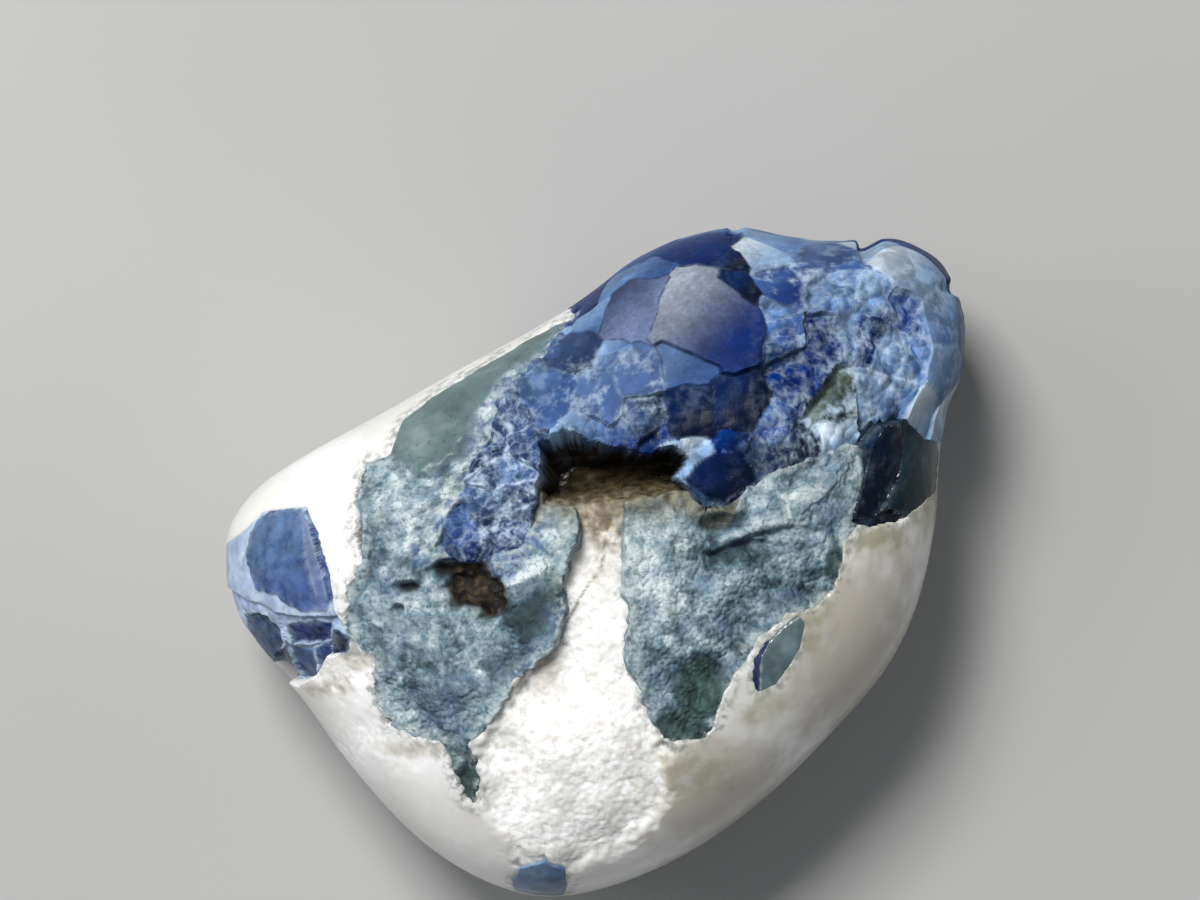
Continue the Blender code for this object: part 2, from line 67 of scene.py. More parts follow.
class Wire:
    """A socket of a material, or its bare node tree, so that shader maths reads as Python."""

    def __init__(self, tree, socket=None):
        self.tree = tree
        self.socket = socket

    def node(self, kind, settings=None, inputs=None, output=0):
        """Adds a node: its settings first, then the values or wires of its sockets."""
        made = self.tree.nodes.new(kind)
        for name, value in (settings or {}).items():
            if name == "stops":
                self.set_stops(made.color_ramp, value)
            else:
                setattr(made, name, value)
        for name, value in (inputs or {}).items():
            if isinstance(value, Wire):
                self.tree.links.new(value.socket, made.inputs[name])
            else:
                made.inputs[name].default_value = value
        return Wire(self.tree, made.outputs[output])

    def set_stops(self, ramp, stops):
        while len(ramp.elements) < len(stops):
            ramp.elements.new(1.0)
        for element, (place, colour) in zip(ramp.elements, stops):
            element.position = place
            element.color = colour

    def maths(self, operation, first, second):
        return self.node("ShaderNodeMath", {"operation": operation}, {0: first, 1: second})

    def __add__(self, other):
        return self.maths("ADD", self, other)

    def __radd__(self, other):
        return self.maths("ADD", other, self)

    def __sub__(self, other):
        return self.maths("SUBTRACT", self, other)

    def __rsub__(self, other):
        return self.maths("SUBTRACT", other, self)

    def __mul__(self, other):
        return self.maths("MULTIPLY", self, other)

    def __rmul__(self, other):
        return self.maths("MULTIPLY", other, self)

    def step(self, low, high):
        """This value smoothly from 0 at low to 1 at high."""
        limits = {"Value": self, "From Min": low, "From Max": high}
        return self.node("ShaderNodeMapRange", {"interpolation_type": "SMOOTHSTEP"}, limits)

    def blend(self, first, second):
        """The first colour where this value is 0 and the second where it is 1."""
        return self.node(
            "ShaderNodeMix", {"data_type": "RGBA"}, {0: self, 6: first, 7: second}, output=2
        )

    def ramp(self, *stops):
        return self.node("ShaderNodeValToRGB", {"stops": stops}, {"Fac": self})

    def kept(self, name):
        """A value or colour that the mesh keeps at its points."""
        output = 0 if name == "tint" else 2
        return self.node("ShaderNodeAttribute", {"attribute_name": name}, output=output)

    def lumps(self, size, detail=3.0, roughness=0.55):
        """Soft random clouds of about the given size in millimetres."""
        place = self.node("ShaderNodeTexCoord", output=3)
        looks = {"Scale": 1 / (size * MM), "Detail": detail, "Roughness": roughness}
        return self.node("ShaderNodeTexNoise", {}, {"Vector": place, **looks})

    def bump(self, height, strength, distance):
        looks = {"Height": height, "Strength": strength, "Distance": distance * MM}
        return self.node("ShaderNodeBump", {}, looks)


def new_material(name, **constants):
    """A material with one shader, whose unvarying values are set on the shader itself."""
    material = bpy.data.materials.new(name)
    material.use_nodes = True
    shader = material.node_tree.nodes["Principled BSDF"]
    for label, value in constants.items():
        shader.inputs[label.replace("_", " ")].default_value = value
    return material, Wire(material.node_tree)


def paint(material, **wires):
    """Links what varies over the surface to the shader."""
    shader = material.node_tree.nodes["Principled BSDF"]
    for label, wire in wires.items():
        material.node_tree.links.new(wire.socket, shader.inputs[label.replace("_", " ")])


def add_object(name, data):
    made = bpy.data.objects.new(name, data)
    bpy.context.scene.collection.objects.link(made)
    return made


def finished_piece(name, maker, material):
    """The piece as an object in metres, with its place in its mesh."""
    maker.normal_update()
    mesh = bpy.data.meshes.new(name)
    maker.to_mesh(mesh)
    maker.free()
    mesh.transform(Matrix.Scale(MM, 4))
    mesh.materials.append(material)
    return add_object(name, mesh)


def area_light(name, way, distance, size, power, colour):
    """A square soft light that looks at the stone from a direction."""
    light = bpy.data.lights.new(name, "AREA")
    light.size = size * MM
    light.energy = power
    light.color = colour
    lamp = add_object(name, light)
    lamp.location = Vector(way).normalized() * distance * MM
    lamp.rotation_euler = Vector(way).to_track_quat("Z", "Y").to_euler()


table_maker = bmesh.new()
bmesh.ops.create_circle(table_maker, cap_ends=True, segments=96, radius=TABLE_RADIUS)
table_material, table_tree = new_material("table", Roughness=0.6)
table_cloud = table_tree.lumps(60.0).step(0.3, 0.7)
paint(table_material, Base_Color=table_cloud.blend(srgb(164, 164, 163), srgb(171, 171, 170)))
table = finished_piece("table", table_maker, table_material)

area_light("key", (-0.25, 0.45, 0.85), 420, 130, 1.95, (1.0, 0.99, 0.97))
area_light("side", (-0.8, 0.25, 0.6), 460, 240, 0.45, (0.96, 0.98, 1.0))

world = bpy.data.worlds.new("room")
bpy.context.scene.world = world
world.use_nodes = True
room_light = world.node_tree.nodes["Background"].inputs
room_light["Color"].default_value = (0.86, 0.89, 0.93, 1)
room_light["Strength"].default_value = 0.26
bpy.context.scene.view_settings.view_transform = "Standard"

camera_data = bpy.data.cameras.new("camera")
camera_data.lens = CAMERA_LENS
camera_data.sensor_width = SENSOR_WIDTH
camera = add_object("camera", camera_data)
camera_distance = PHOTO_WIDTH * PHOTO_MM_PER_PIXEL * CAMERA_LENS / SENSOR_WIDTH
camera_x, camera_y = (pixels * PHOTO_MM_PER_PIXEL for pixels in PHOTO_MIDDLE)
camera.location = Vector((camera_x, camera_y, SHARP_HEIGHT + camera_distance)) * MM
bpy.context.scene.camera = camera

# The natrolite. It makes most of the pebble: milky white and tumbled smooth, but for a rough,
# sugary channel down the face and a dark cavity at its head. The other minerals are grown into it.
RIM_HEIGHT = 5.6
DOME_HEIGHT = 7.6
BACK_DEPTH = 6.2
ROUNDNESS = 2.5
PEBBLE_MIDDLE = (0.2, 0.0)
SILHOUETTE = (
    (-14, -0.3), (-13.8, 1.3), (-12.8, 2.7), (-11.1, 3.9), (-8, 5.6), (-5.2, 7.2), (-2.6, 8.6),
    (-0.9, 9.6), (0.2, 10.4), (1.7, 11.5), (3.6, 12.3), (5.4, 12.6), (7.5, 12.2), (9.9, 12.1),
    (11.6, 12.1), (12.9, 11.4), (13.6, 10.2), (14, 8.9), (13.9, 7.2), (13.3, 5.7), (13, 4), (12.8, 1.2),
    (12.1, -1.8), (10.9, -4.2), (9, -6.4), (6.7, -8.7), (3.9, -10.8), (0.9, -12.2), (-1.9, -12.7),
    (-4.4, -12), (-6.8, -10.4), (-9.2, -7.8), (-11.1, -5.2), (-12.8, -3.3), (-13.7, -1.9),
)
CLUSTER = (
    (-2.1, 10.2), (-0.7, 9.3), (-1.8, 7.9), (-2.8, 7.1), (-3.7, 6.1), (-4.2, 4.8), (-4.7, 3.4),
    (-5.4, 2.1), (-6.1, 0.6), (-4.7, 0), (-2.8, 0.5), (-2.3, 1.9), (-2.15, 3), (-2, 3.8), (-2.05, 4.5),
    (-1.25, 5.2), (-0.8, 5), (-0.2, 4.65), (0.9, 4.3), (2.1, 4.05), (2.5, 4.4), (3, 4.5), (3.3, 3.9),
    (3.1, 3.2), (3.5, 2.5), (4, 2), (4.9, 2.1), (5.6, 2.6), (6.9, 3.5), (9.6, 4.5), (10.3, 4.2),
    (12.4, 4), (13.1, 4.5), (16, 4.5), (16, 14.5), (-2.1, 14.5),
)
CLUSTER_KNEE = 4.4
CLUSTER_LEAN = (2.5 / 5.4, 4.5 / 5.4)
SCHIST_PATCHES = {
    "schist_left": (
        (-0.8, 9.2), (-2.6, 8.3), (-4.4, 7.2), (-6.1, 6.2), (-7.2, 5.3), (-7.6, 4), (-8.6, 3.7),
        (-8.9, 2.3), (-8.7, 0), (-9.2, -1.2), (-9.2, -2.7), (-8.2, -3.5), (-8.2, -4.9), (-7.8, -6.1),
        (-5.8, -6.7), (-5.4, -7.2), (-5, -9), (-4.5, -9.2), (-4.3, -8), (-4.6, -6.8), (-3.9, -5.9),
        (-3, -4.4), (-1.5, -3), (-1.2, -1.9), (-1.2, -0.5), (-0.6, 1.6), (-0.9, 2.1), (-2, 2.3),
        (-2.3, 3.8), (-2.2, 4.9), (-1.4, 6.4), (-1, 7.9),
    ),
    "schist_right": (
        (1.1, 2.3), (3.3, 2.7), (3.9, 3.2), (5.6, 3.2), (7, 4.2), (9, 5.1), (10.6, 4.8), (10.4, 3.5),
        (9.9, 1.6), (9.2, 0.6), (9, -0.9), (8.1, -1.7), (7.1, -1.9), (6, -2.9), (5.5, -3.8),
        (4.8, -4.8), (4.1, -6.6), (2.5, -6.6), (1.7, -5), (1.2, -3.4), (1.2, -1.5), (1.1, 0.6),
    ),
}
# Lowest height and outline of each single crystal
CRYSTALS = {
    "benitoite_left": (4.4, (
        (-13.1, 1.2), (-12.5, 1.8), (-11.5, 2), (-10.7, 2), (-10.3, 1), (-9.8, -0.5), (-9.7, -1.7),
        (-9.1, -2.8), (-9.3, -3.4), (-10, -3.5), (-10.5, -4.3), (-11.2, -4.7), (-11.9, -4.6),
        (-14.5, -2.9), (-14.5, 0.2),
    )),
    "dark_crystal": (5, (
        (9.5, 1.5), (10.1, 3.4), (10.3, 4.3), (10.8, 5), (11.6, 5.3), (12.3, 4.6), (12.9, 4.4),
        (12.9, 2.7), (12.4, 2.3), (11.4, 1.5), (10.3, 1.3),
    )),
    "benitoite_lower": (9, (
        (5.9, -3.5), (6.3, -2.9), (6.9, -2.4), (7.5, -1.9), (7.7, -2.3), (7.5, -3.2), (7.1, -3.9),
        (6.6, -4.5), (6, -4.8), (5.8, -4.3),
    )),
    "benitoite_foot": (7.2, (
        (-3.1, -11.9), (-2.8, -11.5), (-1.9, -11.2), (-1.2, -11.5), (-1.1, -12.1), (-1.6, -13.5),
        (-2.8, -13.5),
    )),
}
CHANNEL = (
    (-1.4, 2.9), (1.7, 2.9), (1.7, 0), (1.6, -3), (2.6, -6.7), (2.7, -9), (1.1, -10.9), (-1.3, -11.7),
    (-3.3, -10.9), (-4.3, -9), (-4.7, -6.7), (-3, -4.6), (-1.7, -2.2), (-1.7, 0),
)
CHANNEL_ENDS = (-11.7, -6.0, -1.0, 2.3)
CHANNEL_DEPTHS = (0.06, 0.35, 0.9, 1.2)
# Oval spots, here and below: x, y, half width, half height, strength. The first are the rough
# places in the white outside the channel
ROUGH_PLACES = (
    (-9.2, -0.7, 0.8, 1.7, 1), (-9.4, -3.9, 1.3, 1.1, 0.9), (-7.6, -6.6, 2.6, 1.2, 0.5),
    (5.4, -3.4, 0.5, 0.6, 0.9), (9.6, 0.4, 0.5, 0.9, 0.3),
)
CAVITY = (
    (-2.6, 3.6), (-2.5, 5), (-1.5, 5.9), (0, 5.7), (1.8, 5.1), (3.9, 4.9), (4.2, 3), (3.9, 2.1),
    (2.6, 1.6), (0.2, 1.5), (-1.5, 1.5), (-2.8, 1.6), (-2.9, 2.4),
)
# Brown and olive stains
BROWN_STAINS = (
    (0.6, 1.6, 2.4, 1.3, 1), (0.4, -0.1, 1.2, 1.3, 0.35), (-2.3, -3.9, 1.2, 1.3, 0.55),
    (-9.9, -4.7, 1.1, 0.4, 0.6), (-9, -3.6, 0.7, 0.5, 0.5), (-6.4, -7, 1.8, 0.35, 0.5),
    (1.6, -2.9, 0.5, 1.6, 0.25), (12.4, 2.4, 0.7, 0.9, 0.45),
)
OLIVE_STAINS = (
    (3.4, -7.8, 2, 1.3, 0.8), (5.9, -5.2, 1.2, 0.7, 0.8), (8, -2.2, 0.9, 1.2, 0.9),
    (12.4, 2.2, 0.9, 1.5, 1), (10.6, 0.9, 1.8, 0.6, 1),
)
# Where the white is painted greyer: painted shade on the lower right side, which faces away from the
# light
SHADED_SIDE_SPOTS = ((9.6, -3.0, 3.0, 6.0, 1.0), (4.6, -8.6, 4.0, 3.0, 0.9), (-6.0, -9.5, 3.0, 2.0, 0.3))
# The thin brown crack in the head of the channel
CRACK = ((0.62, 2.1), (0.32, 0.7), (0.24, -0.1), (-0.43, -1.05), (-1.07, -2.2))
BURIED = 2.6
SEEN_HEIGHT = RIM_HEIGHT - 1.5
SKIN_OVERLAP = 0.42
START_FINENESS = 6
PATCH_THICKNESS = 2.0
CRYSTAL_THICKNESS = 1.0


def smooth_closed_curve(points, steps):
    """Catmull-Rom curve through the points and back to the first."""
    ring = np.array(points, float)
    found = []
    for i in range(len(ring)):
        before, start, end, after = (ring[(i + k) % len(ring)] for k in (-1, 0, 1, 2))
        for step in range(steps):
            t = step / steps
            bend = (2 * before - 5 * start + 4 * end - after) * t**2
            twist = (3 * start - before - 3 * end + after) * t**3
            found.append(0.5 * (2 * start + (end - before) * t + bend + twist))
    return np.array(found)


outline_arms = smooth_closed_curve(SILHOUETTE, 6) - PEBBLE_MIDDLE
outline_arms = outline_arms[np.argsort(np.arctan2(outline_arms[:, 1], outline_arms[:, 0]))]
outline_angles = np.arctan2(outline_arms[:, 1], outline_arms[:, 0])
outline_lengths = np.hypot(outline_arms[:, 0], outline_arms[:, 1])


def outline_radius(angles):
    return np.interp(angles, outline_angles, outline_lengths, period=2 * math.pi)


def pebble_points(directions):
    """Maps directions on a unit sphere to the tumbled stone, a superellipse in section."""
    x, y, z = directions.T
    share = np.hypot(x, y) ** (2 / ROUNDNESS)
    angle = np.arctan2(y, x)
    reach = outline_radius(angle) * share
    lift = np.abs(z) ** (2 / ROUNDNESS) * np.where(z > 0, DOME_HEIGHT, -BACK_DEPTH)
    across = PEBBLE_MIDDLE[0] + reach * np.cos(angle)
    return np.column_stack([across, PEBBLE_MIDDLE[1] + reach * np.sin(angle), RIM_HEIGHT + lift])


def pebble_normals(points):
    """Outward normals of the tumbled stone at points on it."""
    arms = points[:, :2] - PEBBLE_MIDDLE
    lengths = np.maximum(np.hypot(arms[:, 0], arms[:, 1]), 1e-6)
    radius = outline_radius(np.arctan2(arms[:, 1], arms[:, 0]))
    rise = points[:, 2] - RIM_HEIGHT
    height = np.where(rise > 0, DOME_HEIGHT, BACK_DEPTH)
    sideways = (lengths / radius) ** (ROUNDNESS - 1) / radius / lengths
    upwards = np.sign(rise) * np.abs(rise / height) ** (ROUNDNESS - 1) / height
    normals = np.column_stack([arms * sideways[:, None], upwards])
    return normals / np.linalg.norm(normals, axis=1)[:, None]


def inside_distance(x, y, outline):
    """Distance from each point to an outline, positive inside it."""
    nearest = np.full(np.shape(x), np.inf)
    inside = np.zeros(np.shape(x), bool)
    ring = np.array(outline, float)
    for (ax, ay), (bx, by) in zip(ring, np.roll(ring, -1, axis=0)):
        run_x, run_y = bx - ax, by - ay
        along = np.clip(((x - ax) * run_x + (y - ay) * run_y) / (run_x**2 + run_y**2), 0, 1)
        nearest = np.minimum(nearest, np.hypot(x - ax - along * run_x, y - ay - along * run_y))
        if ay != by:
            crosses = (ay > y) != (by > y)
            inside ^= crosses & (x < ax + (y - ay) * run_x / run_y)
    return np.where(inside, nearest, -nearest)


def smooth_step(value):
    t = np.clip(value, 0, 1)
    return t * t * (3 - 2 * t)


def soft_spots(x, y, wave, spots):
    """The strongest of some soft oval spots at each point."""
    strongest = np.zeros(len(x))
    for middle_x, middle_y, half_width, half_height, strength in spots:
        away = np.hypot((x - middle_x) / half_width, (y - middle_y) / half_height)
        soft = strength * smooth_step((1.25 - away - 0.35 * wave) / 0.9)
        strongest = np.where(np.abs(soft) > np.abs(strongest), soft, strongest)
    return strongest


def lattice_random(cells, shift):
    """Three repeatable random numbers from -1 to 1 for each cell of a lattice."""
    mixing = np.array([[127.1, 269.5, 419.2], [311.7, 183.3, 371.9], [74.7, 246.1, 124.6]])
    values = np.sin(cells @ mixing + 17.3 * shift) * 43758.5453
    return (values - np.floor(values)) * 2 - 1


def random_lumps(points, size, shift):
    """Rounded random lumps of about the given size, from -1 to 1."""
    places = points / size + shift
    base = np.floor(places)
    inner = places - base
    fade = inner**3 * (inner * (inner * 6 - 15) + 10)
    total = np.zeros(len(points))
    for corner in itertools.product((0, 1), repeat=3):
        weight = np.prod(np.where(corner, fade, 1 - fade), axis=1)
        slope = lattice_random(base + corner, shift)
        total += weight * ((inner - corner) * slope).sum(axis=1)
    return np.clip(total * 1.5, -1, 1)


def broken_bits(points, size, shift):
    """Bits of about the given size: each point's depth, random shade and edge distance."""
    places = points / size + shift
    base = np.floor(places)
    best, second = np.full((2, len(points)), -9.0)
    shade = np.zeros(len(points))
    for step in itertools.product((-1, 0, 1), repeat=3):
        cell = base + step
        offset = places - cell - 0.5 - 0.45 * lattice_random(cell, shift)
        way = lattice_random(cell, shift + 9)
        top = (0.5 * way * offset - 0.6 * offset**2).sum(axis=1) + 0.2 * way[:, 2]
        higher = top > best
        second = np.where(higher, best, np.maximum(second, top))
        best = np.where(higher, top, best)
        shade = np.where(higher, way[:, 0], shade)
    return -size * (best + 0.1), shade, size * (best - second)


def mineral_edges(points):
    """Distance of each point into each mineral, and the waves of the borders that they share."""
    x, y, z = points.T
    wave = random_lumps(points, 0.9, 2.0) + 0.6 * random_lumps(points, 0.35, 4.0)
    edges = {}
    taken = np.full(len(points), -99.0)
    for name, (floor, outline) in CRYSTALS.items():
        edges[name] = np.minimum(inside_distance(x, y, outline), z - floor) + 0.05 * wave
        taken = np.maximum(taken, edges[name])
    below = np.maximum(CLUSTER_KNEE - z, 0)
    leaned = x - CLUSTER_LEAN[0] * below, y - CLUSTER_LEAN[1] * below
    cluster = inside_distance(*leaned, CLUSTER) + 0.16 * wave
    edges["benitoite_cluster"] = np.minimum(cluster, -taken)
    taken = np.maximum(taken, cluster)
    free = -taken
    for name, outline in SCHIST_PATCHES.items():
        uneven = 0.16 - 0.12 * smooth_step(y - 3)
        rock = np.where(z > RIM_HEIGHT, inside_distance(x, y, outline) + uneven * wave, -9)
        edges[name] = np.minimum(rock, free)
        taken = np.maximum(taken, rock)
    edges["natrolite_matrix"] = -taken
    return edges, wave


def sphere(fineness):
    maker = bmesh.new()
    bmesh.ops.create_icosphere(maker, subdivisions=fineness, radius=1.0)
    return maker


def stone_points(maker):
    return pebble_points(np.array([vertex.co for vertex in maker.verts]))


def face_middles(maker):
    middles = np.array([face.calc_center_median() for face in maker.faces])
    return pebble_points(middles / np.linalg.norm(middles, axis=1)[:, None])


def refine(maker, wanted):
    """Halves the edges of the wanted faces of a unit sphere, chosen by their middles."""
    chosen = wanted(face_middles(maker))
    edges = {edge for face, pick in zip(maker.faces, chosen) if pick for edge in face.edges}
    bmesh.ops.subdivide_edges(maker, edges=list(edges), cuts=1, use_grid_fill=True)
    bmesh.ops.triangulate(maker, faces=[face for face in maker.faces if len(face.verts) > 3])
    for vertex in maker.verts:
        vertex.co.normalize()


def place_skin(maker, points, depths, kept, tint=None):
    """Puts the sphere's points on the stone at their depths, and keeps values and a tint there."""
    points = points - pebble_normals(points) * depths[:, None]
    points[:, 2] = np.maximum(points[:, 2], 0)
    layers = {name: maker.verts.layers.float.new(name) for name in kept}
    for vertex, point in zip(maker.verts, points):
        vertex.co = point
    for name, layer in layers.items():
        for vertex, value in zip(maker.verts, kept[name]):
            vertex[layer] = value
    if tint is not None:
        tint_layer = maker.verts.layers.float_color.new("tint")
        for vertex, colour in zip(maker.verts, np.clip(tint, 0, 0.9)):
            vertex[tint_layer] = (*colour, 1)


def sinking(edge, depth):
    """How a mineral's skin dives under its neighbours beyond its own border."""
    return depth * smooth_step(-edge / 0.3)


def line_distance(x, y, start_x, start_y, end_x, end_y):
    """Distance from each point to a straight stretch."""
    run_x, run_y = end_x - start_x, end_y - start_y
    along = ((x - start_x) * run_x + (y - start_y) * run_y) / (run_x**2 + run_y**2)
    along = np.clip(along, 0, 1)
    return np.hypot(x - start_x - along * run_x, y - start_y - along * run_y)


def natrolite_mesh():
    """The whole stone, refined where it is rough and at its borders, sinking under the others."""

    def seen_face(points):
        return points[:, 2] > SEEN_HEIGHT

    def near_detail(points):
        x, y, _ = points.T
        edge = mineral_edges(points)[0]["natrolite_matrix"]
        rough = inside_distance(x, y, CHANNEL) > -0.6
        rough |= soft_spots(x, y, 0, ROUGH_PLACES) > 0.05
        border = (edge > -0.5) & (edge < 0.35)
        return seen_face(points) & ((rough & (edge > -0.4)) | border)

    def in_channel(points):
        x, y, z = points.T
        edge = mineral_edges(points)[0]["natrolite_matrix"]
        near = np.maximum(inside_distance(x, y, CHANNEL), inside_distance(x, y, CAVITY))
        return (z > RIM_HEIGHT) & (near > -0.3) & (edge > -0.3)

    maker = sphere(START_FINENESS)
    for wanted in (seen_face, near_detail, in_channel):
        refine(maker, wanted)
    points = stone_points(maker)
    edges, wave = mineral_edges(points)
    edge = edges["natrolite_matrix"]
    x, y, z = points.T
    up = smooth_step((z - RIM_HEIGHT) / 1.5)
    bank = smooth_step((inside_distance(x, y, CHANNEL) + 0.35 * wave) / 0.8 + 0.35) * up
    rough = np.maximum(bank, soft_spots(x, y, wave, ROUGH_PLACES) * up)
    soft = random_lumps(points, 1.9, 8.0)
    coarse, shade, _ = broken_bits(points, 0.62, 3.0)
    fine, fine_shade, _ = broken_bits(points, 0.24, 4.0)
    crumbs = random_lumps(points, 0.22, 10.0)
    sugar = 0.24 * soft + 0.16 * coarse + 0.12 * fine + 0.03 * crumbs
    depth = bank * np.interp(y, CHANNEL_ENDS, CHANNEL_DEPTHS) + rough * (sugar + 0.1)
    hollow = smooth_step((inside_distance(x, y, CAVITY) + 0.1 * wave) / 0.3) * up
    cave = hollow * (0.6 + 2.9 * smooth_step((y - 1.6) / 2.3) + 0.4 * soft)
    line = np.min([line_distance(x, y, *start, *end) for start, end in zip(CRACK, CRACK[1:])], axis=0)
    line = 1 - smooth_step((line - 0.03 * wave) / 0.09)
    depth = np.maximum(depth, cave + 0.6 * hollow * sugar)
    depth += sinking(edge, BURIED)
    kept = {
        "rough": rough,
        "brown": soft_spots(x, y, wave, BROWN_STAINS) * up,
        "olive": soft_spots(x, y, wave, OLIVE_STAINS) * up,
        "cave": smooth_step((y + 0.4 * wave - 1.0) / 3.4) * (inside_distance(x, y, CAVITY) > -0.8) * up,
        "crack": line * up,
        # painted shade: where the white is greyed on its lower right
        "dull": soft_spots(x, y, wave, SHADED_SIDE_SPOTS) * up,
        "bit": 0.5 + 0.5 * np.clip(shade + 0.5 * fine_shade, -1, 1),
        "near": smooth_step((0.5 - edge + 0.2 * wave) / 0.5) * up * (x > -9.6),
    }
    place_skin(maker, points, depth, kept)
    return maker


def natrolite_material():
    """Milky white and soft, brown by the cavity, with broken white sugar in the channel. Painted shade
    greys the lower right, and painted shadow darkens the top of the cavity.
    """
    material, tree = new_material(
        "natrolite",
        Specular_IOR_Level=0.5,
        IOR=1.49,
        Subsurface_Weight=0.5,
        Subsurface_Radius=(1.0, 0.9, 0.8),
        Subsurface_Scale=0.001,
    )
    lumps, kept = tree.lumps, tree.kept
    rough = kept("rough")
    clouds = lumps(4.5, 4.0).step(0.32, 0.68)
    milk = clouds.blend(srgb(222, 221, 217), srgb(240, 240, 240))
    # Painted shade: the white turns grey-beige on the lower right, away from the light.
    dull = (kept("dull") * 0.85).blend(milk, srgb(184, 178, 167))
    grey = (lumps(1.6, 5.0).step(0.5, 0.72) * 0.25).blend(dull, srgb(190, 190, 186))
    sugar = lumps(0.3, 5.0).step(0.34, 0.56).blend(srgb(222, 219, 214), srgb(252, 252, 251))
    clear = (lumps(1.7, 5.0).step(0.52, 0.6) * 0.6).blend(sugar, srgb(212, 211, 208))
    bits = (kept("bit").step(0.6, 0.95) * 0.2).blend(clear, srgb(204, 201, 195))
    specks = (lumps(0.2, 3.0).step(0.66, 0.74) * 0.5).blend(bits, srgb(150, 144, 132))
    body = rough.blend(grey, specks)
    olive = (kept("olive") * lumps(0.9).step(0.3, 0.6) * 0.6).blend(body, srgb(142, 138, 98))
    brown = lumps(0.45, 5.0).ramp(
        (0.34, srgb(86, 72, 54)), (0.5, srgb(138, 124, 104)), (0.66, srgb(196, 188, 174))
    )
    stained = (kept("brown") * lumps(0.6, 4.0).step(0.22, 0.55)).blend(olive, brown)
    green = lumps(0.35, 4.0).step(0.42, 0.62) * kept("near") * 0.75
    bordered = green.blend(stained, srgb(128, 138, 132))
    cracked = (kept("crack") * lumps(0.4, 3.0).step(0.3, 0.5) * 0.8).blend(bordered, srgb(92, 82, 52))
    # Brown earth in the cavity, partly painted shade of the hollow.
    earth_and_shade = lumps(0.3, 4.0).ramp(
        (0.36, srgb(66, 58, 42)), (0.52, srgb(104, 94, 70)), (0.68, srgb(146, 138, 114))
    )
    # Painted shadow: the upper part of the cavity, under its overhang, is painted near-black brown.
    shadow = lumps(0.4, 4.0).ramp((0.4, srgb(38, 34, 24)), (0.66, srgb(74, 64, 46)))
    cave = kept("cave").step(0.02, 0.4).blend(cracked, earth_and_shade)
    dark = kept("cave").step(0.32, 0.75).blend(cave, shadow)
    grain = lumps(0.1, 3.0) * rough
    paint(
        material,
        Base_Color=dark,
        Roughness=rough.step(0.0, 0.6) * 0.35 + 0.25,
        Normal=tree.bump(grain + lumps(0.6, 2.0) * 0.15, 0.3, 0.04),
    )
    return material


natrolite = finished_piece("natrolite", natrolite_mesh(), natrolite_material())
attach(natrolite, "root")
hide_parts("natrolite_matrix")

# The two patches of blueschist. The real ones are remains of the country rock: grey-green, smooth
# where the tumbling reached them and frosted with tiny crystals where they lie in hollows.
SMOOTH_SCHIST = (
    (-8, 4.2), (-7.3, 5.6), (-6.1, 6.6), (-4.4, 7.6), (-2.6, 8.7), (-1, 9.4), (-2, 7.9), (-3.2, 7.2),
    (-4.1, 6.2), (-5.2, 3.9), (-6.5, 3.3),
)
# Pits, as spots with a depth, painted near-black brown: earth and painted shade
SCHIST_PITS = (
    (-4.4, -1.1, 1.35, 0.95, 1.5), (-4.9, -0.2, 1.2, 0.45, 0.9), (-7, -0.9, 0.55, 0.26, 0.8),
    (-7.3, -1.7, 0.25, 0.18, 0.5), (4.7, 1.45, 0.75, 0.38, 0.5), (4.3, 0.3, 0.35, 0.6, 0.3),
    (5.9, 0.65, 1.2, 0.26, 0.35), (7.4, 1.1, 1.5, 0.28, 0.25), (-7.75, -5.95, 0.14, 0.14, 0.3),
    (-4.9, -8.3, 0.35, 1.1, 0.4), (-8.9, 1, 0.25, 0.9, 0.4),
)
# Raised ridges: x, y of both ends, half width, height, how much lighter
SCHIST_RIDGES = (
    (-3.8, -0.95, -2, -0.15, 0.13, 0.55, 1.1), (4.3, 0.6, 5.2, 1.12, 0.18, 0.6, 0.28),
    (5.2, 1.12, 6.5, 1.5, 0.18, 0.6, 0.3), (6.5, 1.5, 8.6, 3.1, 0.22, 0.55, 0.22),
    (7, 2.4, 8.4, 2.7, 0.2, 0.4, 0.18), (-3.9, 6.4, -5.6, 2.6, 0.2, 0.1, 0.4),
    (-2.3, -1.2, -2.2, -2.4, 0.75, 0.4, -0.1), (-7.4, -2.4, -5.6, -4.6, 1.2, 0.45, 0.04),
    (-8.3, 2.6, -7.9, -0.2, 0.35, 0.2, 0.15), (2.2, -0.3, 2.6, -3, 0.8, 0.18, 0.12),
)
# Lighter and darker spots
SCHIST_TONES = (
    (2.5, 0, 1.6, 2.2, 0.24), (-7, 1.8, 1.7, 2, 0.16), (3.9, -4.6, 1.2, 1.5, -0.8),
    (3.2, -6, 1.2, 0.9, -0.8), (-4.9, -8.3, 0.7, 1.6, -0.7), (8.9, 0, 0.35, 0.9, -0.6),
    (-2.4, -2, 1.1, 1, -0.4), (-5.2, -5.6, 1.6, 1.2, -0.12), (-1.4, 1.2, 0.8, 1.6, 0.12),
    (7.2, -0.8, 1.5, 1, -0.12), (4.6, 1.7, 1.2, 0.5, -0.45), (5.4, 0.35, 1.6, 0.45, -0.4),
    (-6.4, -1.2, 1.4, 0.9, 0.18), (-6.4, -6, 1.2, 0.6, 0.1), (-3.3, -3.6, 0.8, 0.7, -0.1),
)


